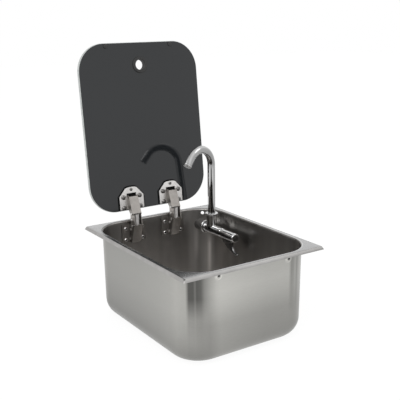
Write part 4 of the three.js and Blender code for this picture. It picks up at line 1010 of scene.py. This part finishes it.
chrome_spout = spout_chrome()
spout_place = collar_place @ Matrix.Rotation(spout_turn, 4, "Z")
stations = [spout_place @ Matrix.Translation((0, 0, z)) for z in (0.0158, 0.05, 0.09)]
for i in range(33):
    angle = neck_sweep * i / 32
    x, z = neck_radius * (math.cos(angle) - 1), neck_low + neck_radius * math.sin(angle)
    stations.append(spout_place @ Matrix.Translation((x, 0, z)) @ Matrix.Rotation(-angle, 4, "Y"))
spout_end = stations[-1] @ Matrix.Translation((0, 0, 0.014))
stations.append(spout_end)
tube_bm = bmesh.new()
loop = start(tube_bm, round_line(stations[0], spout_radius))
for station in stations[1:]:
    loop = grow(tube_bm, loop, round_line(station, spout_radius))
for station in reversed(stations):
    loop = grow(tube_bm, loop, round_line(station, spout_radius - 0.0014))
grow(tube_bm, loop, round_line(stations[0], spout_radius))
close_up(tube_bm)
piece("spout_chrome", tube_bm, chrome_spout, "spout", "chrome", "spout_tube")


# Nozzle. A chromed ring over the spout's end, whose sleeve stands inside the tube. Its bore is pale
# and dull.
outlet_pale = metal("outlet_pale", 400, 0.72, 0.82, 0, 0.35, 0.1, 0.3)
nozzle = turned([(0.0042, -0.004), (0.0042, 0.0043), (0.0064, 0.0043), (0.0075, 0.0035), (0.0075, 0.0008),
                 (0.0071, 0.0003), (0.0050, 0.0003), (0.0050, -0.004)], 40, True)
for face in nozzle.faces:
    face.material_index = 1 if face.calc_center_median().xy.length < 0.0062 else 0
piece("nozzle_chrome", nozzle, [chrome_spout, outlet_pale], "spout", "chrome", "nozzle", place=spout_end)


# Lever. A chromed sleeve that turns on the core's front end, with a thin wing that curves down to
# the front, and a cap over its end.
def curve(first, pull, last, steps=12):
    """The points of a curve from first to last, drawn towards pull, without the first."""
    points = []
    for i in range(1, steps + 1):
        t = i / steps
        points.append(tuple((1 - t) ** 2 * a + 2 * t * (1 - t) * b + t * t * c
                            for a, b, c in zip(first, pull, last)))
    return points


sleeve_radius, sleeve_bore, sleeve_front, sleeve_rear = 0.0082, 0.0049, 0.0337, 0.0707
sleeve = turned([(sleeve_bore, sleeve_front), (sleeve_radius - edge_round, sleeve_front),
                 (sleeve_radius, sleeve_front + edge_round), (sleeve_radius, sleeve_rear - edge_round),
                 (sleeve_radius - edge_round, sleeve_rear), (sleeve_bore, sleeve_rear)], 64, True)
sleeve.transform(along_y)
wing_root, wing_heel, wing_tip = (0.0697, -0.0064), (0.0697, -0.012), (0.0247, -0.032)
wing_nose, wing_front = (0.0217, -0.028), (0.0387, -0.0064)
wing_line = [wing_root, wing_heel, *curve(wing_heel, (0.0537, -0.0285), wing_tip),
             wing_nose, *curve(wing_nose, (0.0427, -0.028), wing_front)]
wing = flat_plate(wing_line, -0.002, 0.002)
soften(wing, 0.0012, 3)
upright = Matrix(((0, 0, 1, 0), (1, 0, 0, 0), (0, 1, 0, 0), (0, 0, 0, 1)))
wing.transform(Matrix.Translation((tap_x, 0, tap_z)) @ upright)
piece("lever_chrome", weld(sleeve, wing), chrome_body, "lever", "chrome", "lever_sleeve")
cap = turned([(0, 0.0304), (0.0055, 0.0304), (0.0072, 0.0307), (0.0080, 0.0314), (sleeve_radius, 0.0322),
              (sleeve_radius, 0.0334), (0, 0.0334)], 64)
piece("cap_chrome", cap, chrome, "lever", "chrome", "lever_cap", place=along_y)


# Wedges, nut and drain. The tap's wedge seat, wedge washer and lock nut, and the drain's seal and
# strainer, keep the shapes of the model and only take their finishes.
# Painted shade: the wedge seat is a dark steel, darkened like the shaded inner wall round it.
seat_steel_painted_shade = metal("seat_steel_painted_shade", 80, 0.14, 0.18, 0.03, 0.55, 0.1)
# The lock nut takes the outer walls' painted reflections, and the strainer the rim's painted shade, which
# darkens most of it.
for node, finish in (("tap_seat", seat_steel_painted_shade), ("tap_washer", soft_black), ("tap_nut", steel_outside),
                     ("drain_seal", soft_black), ("drain_strainer", steel_rim)):
    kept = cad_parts[node]
    kept.data.materials.clear()
    kept.data.materials.append(finish.material)
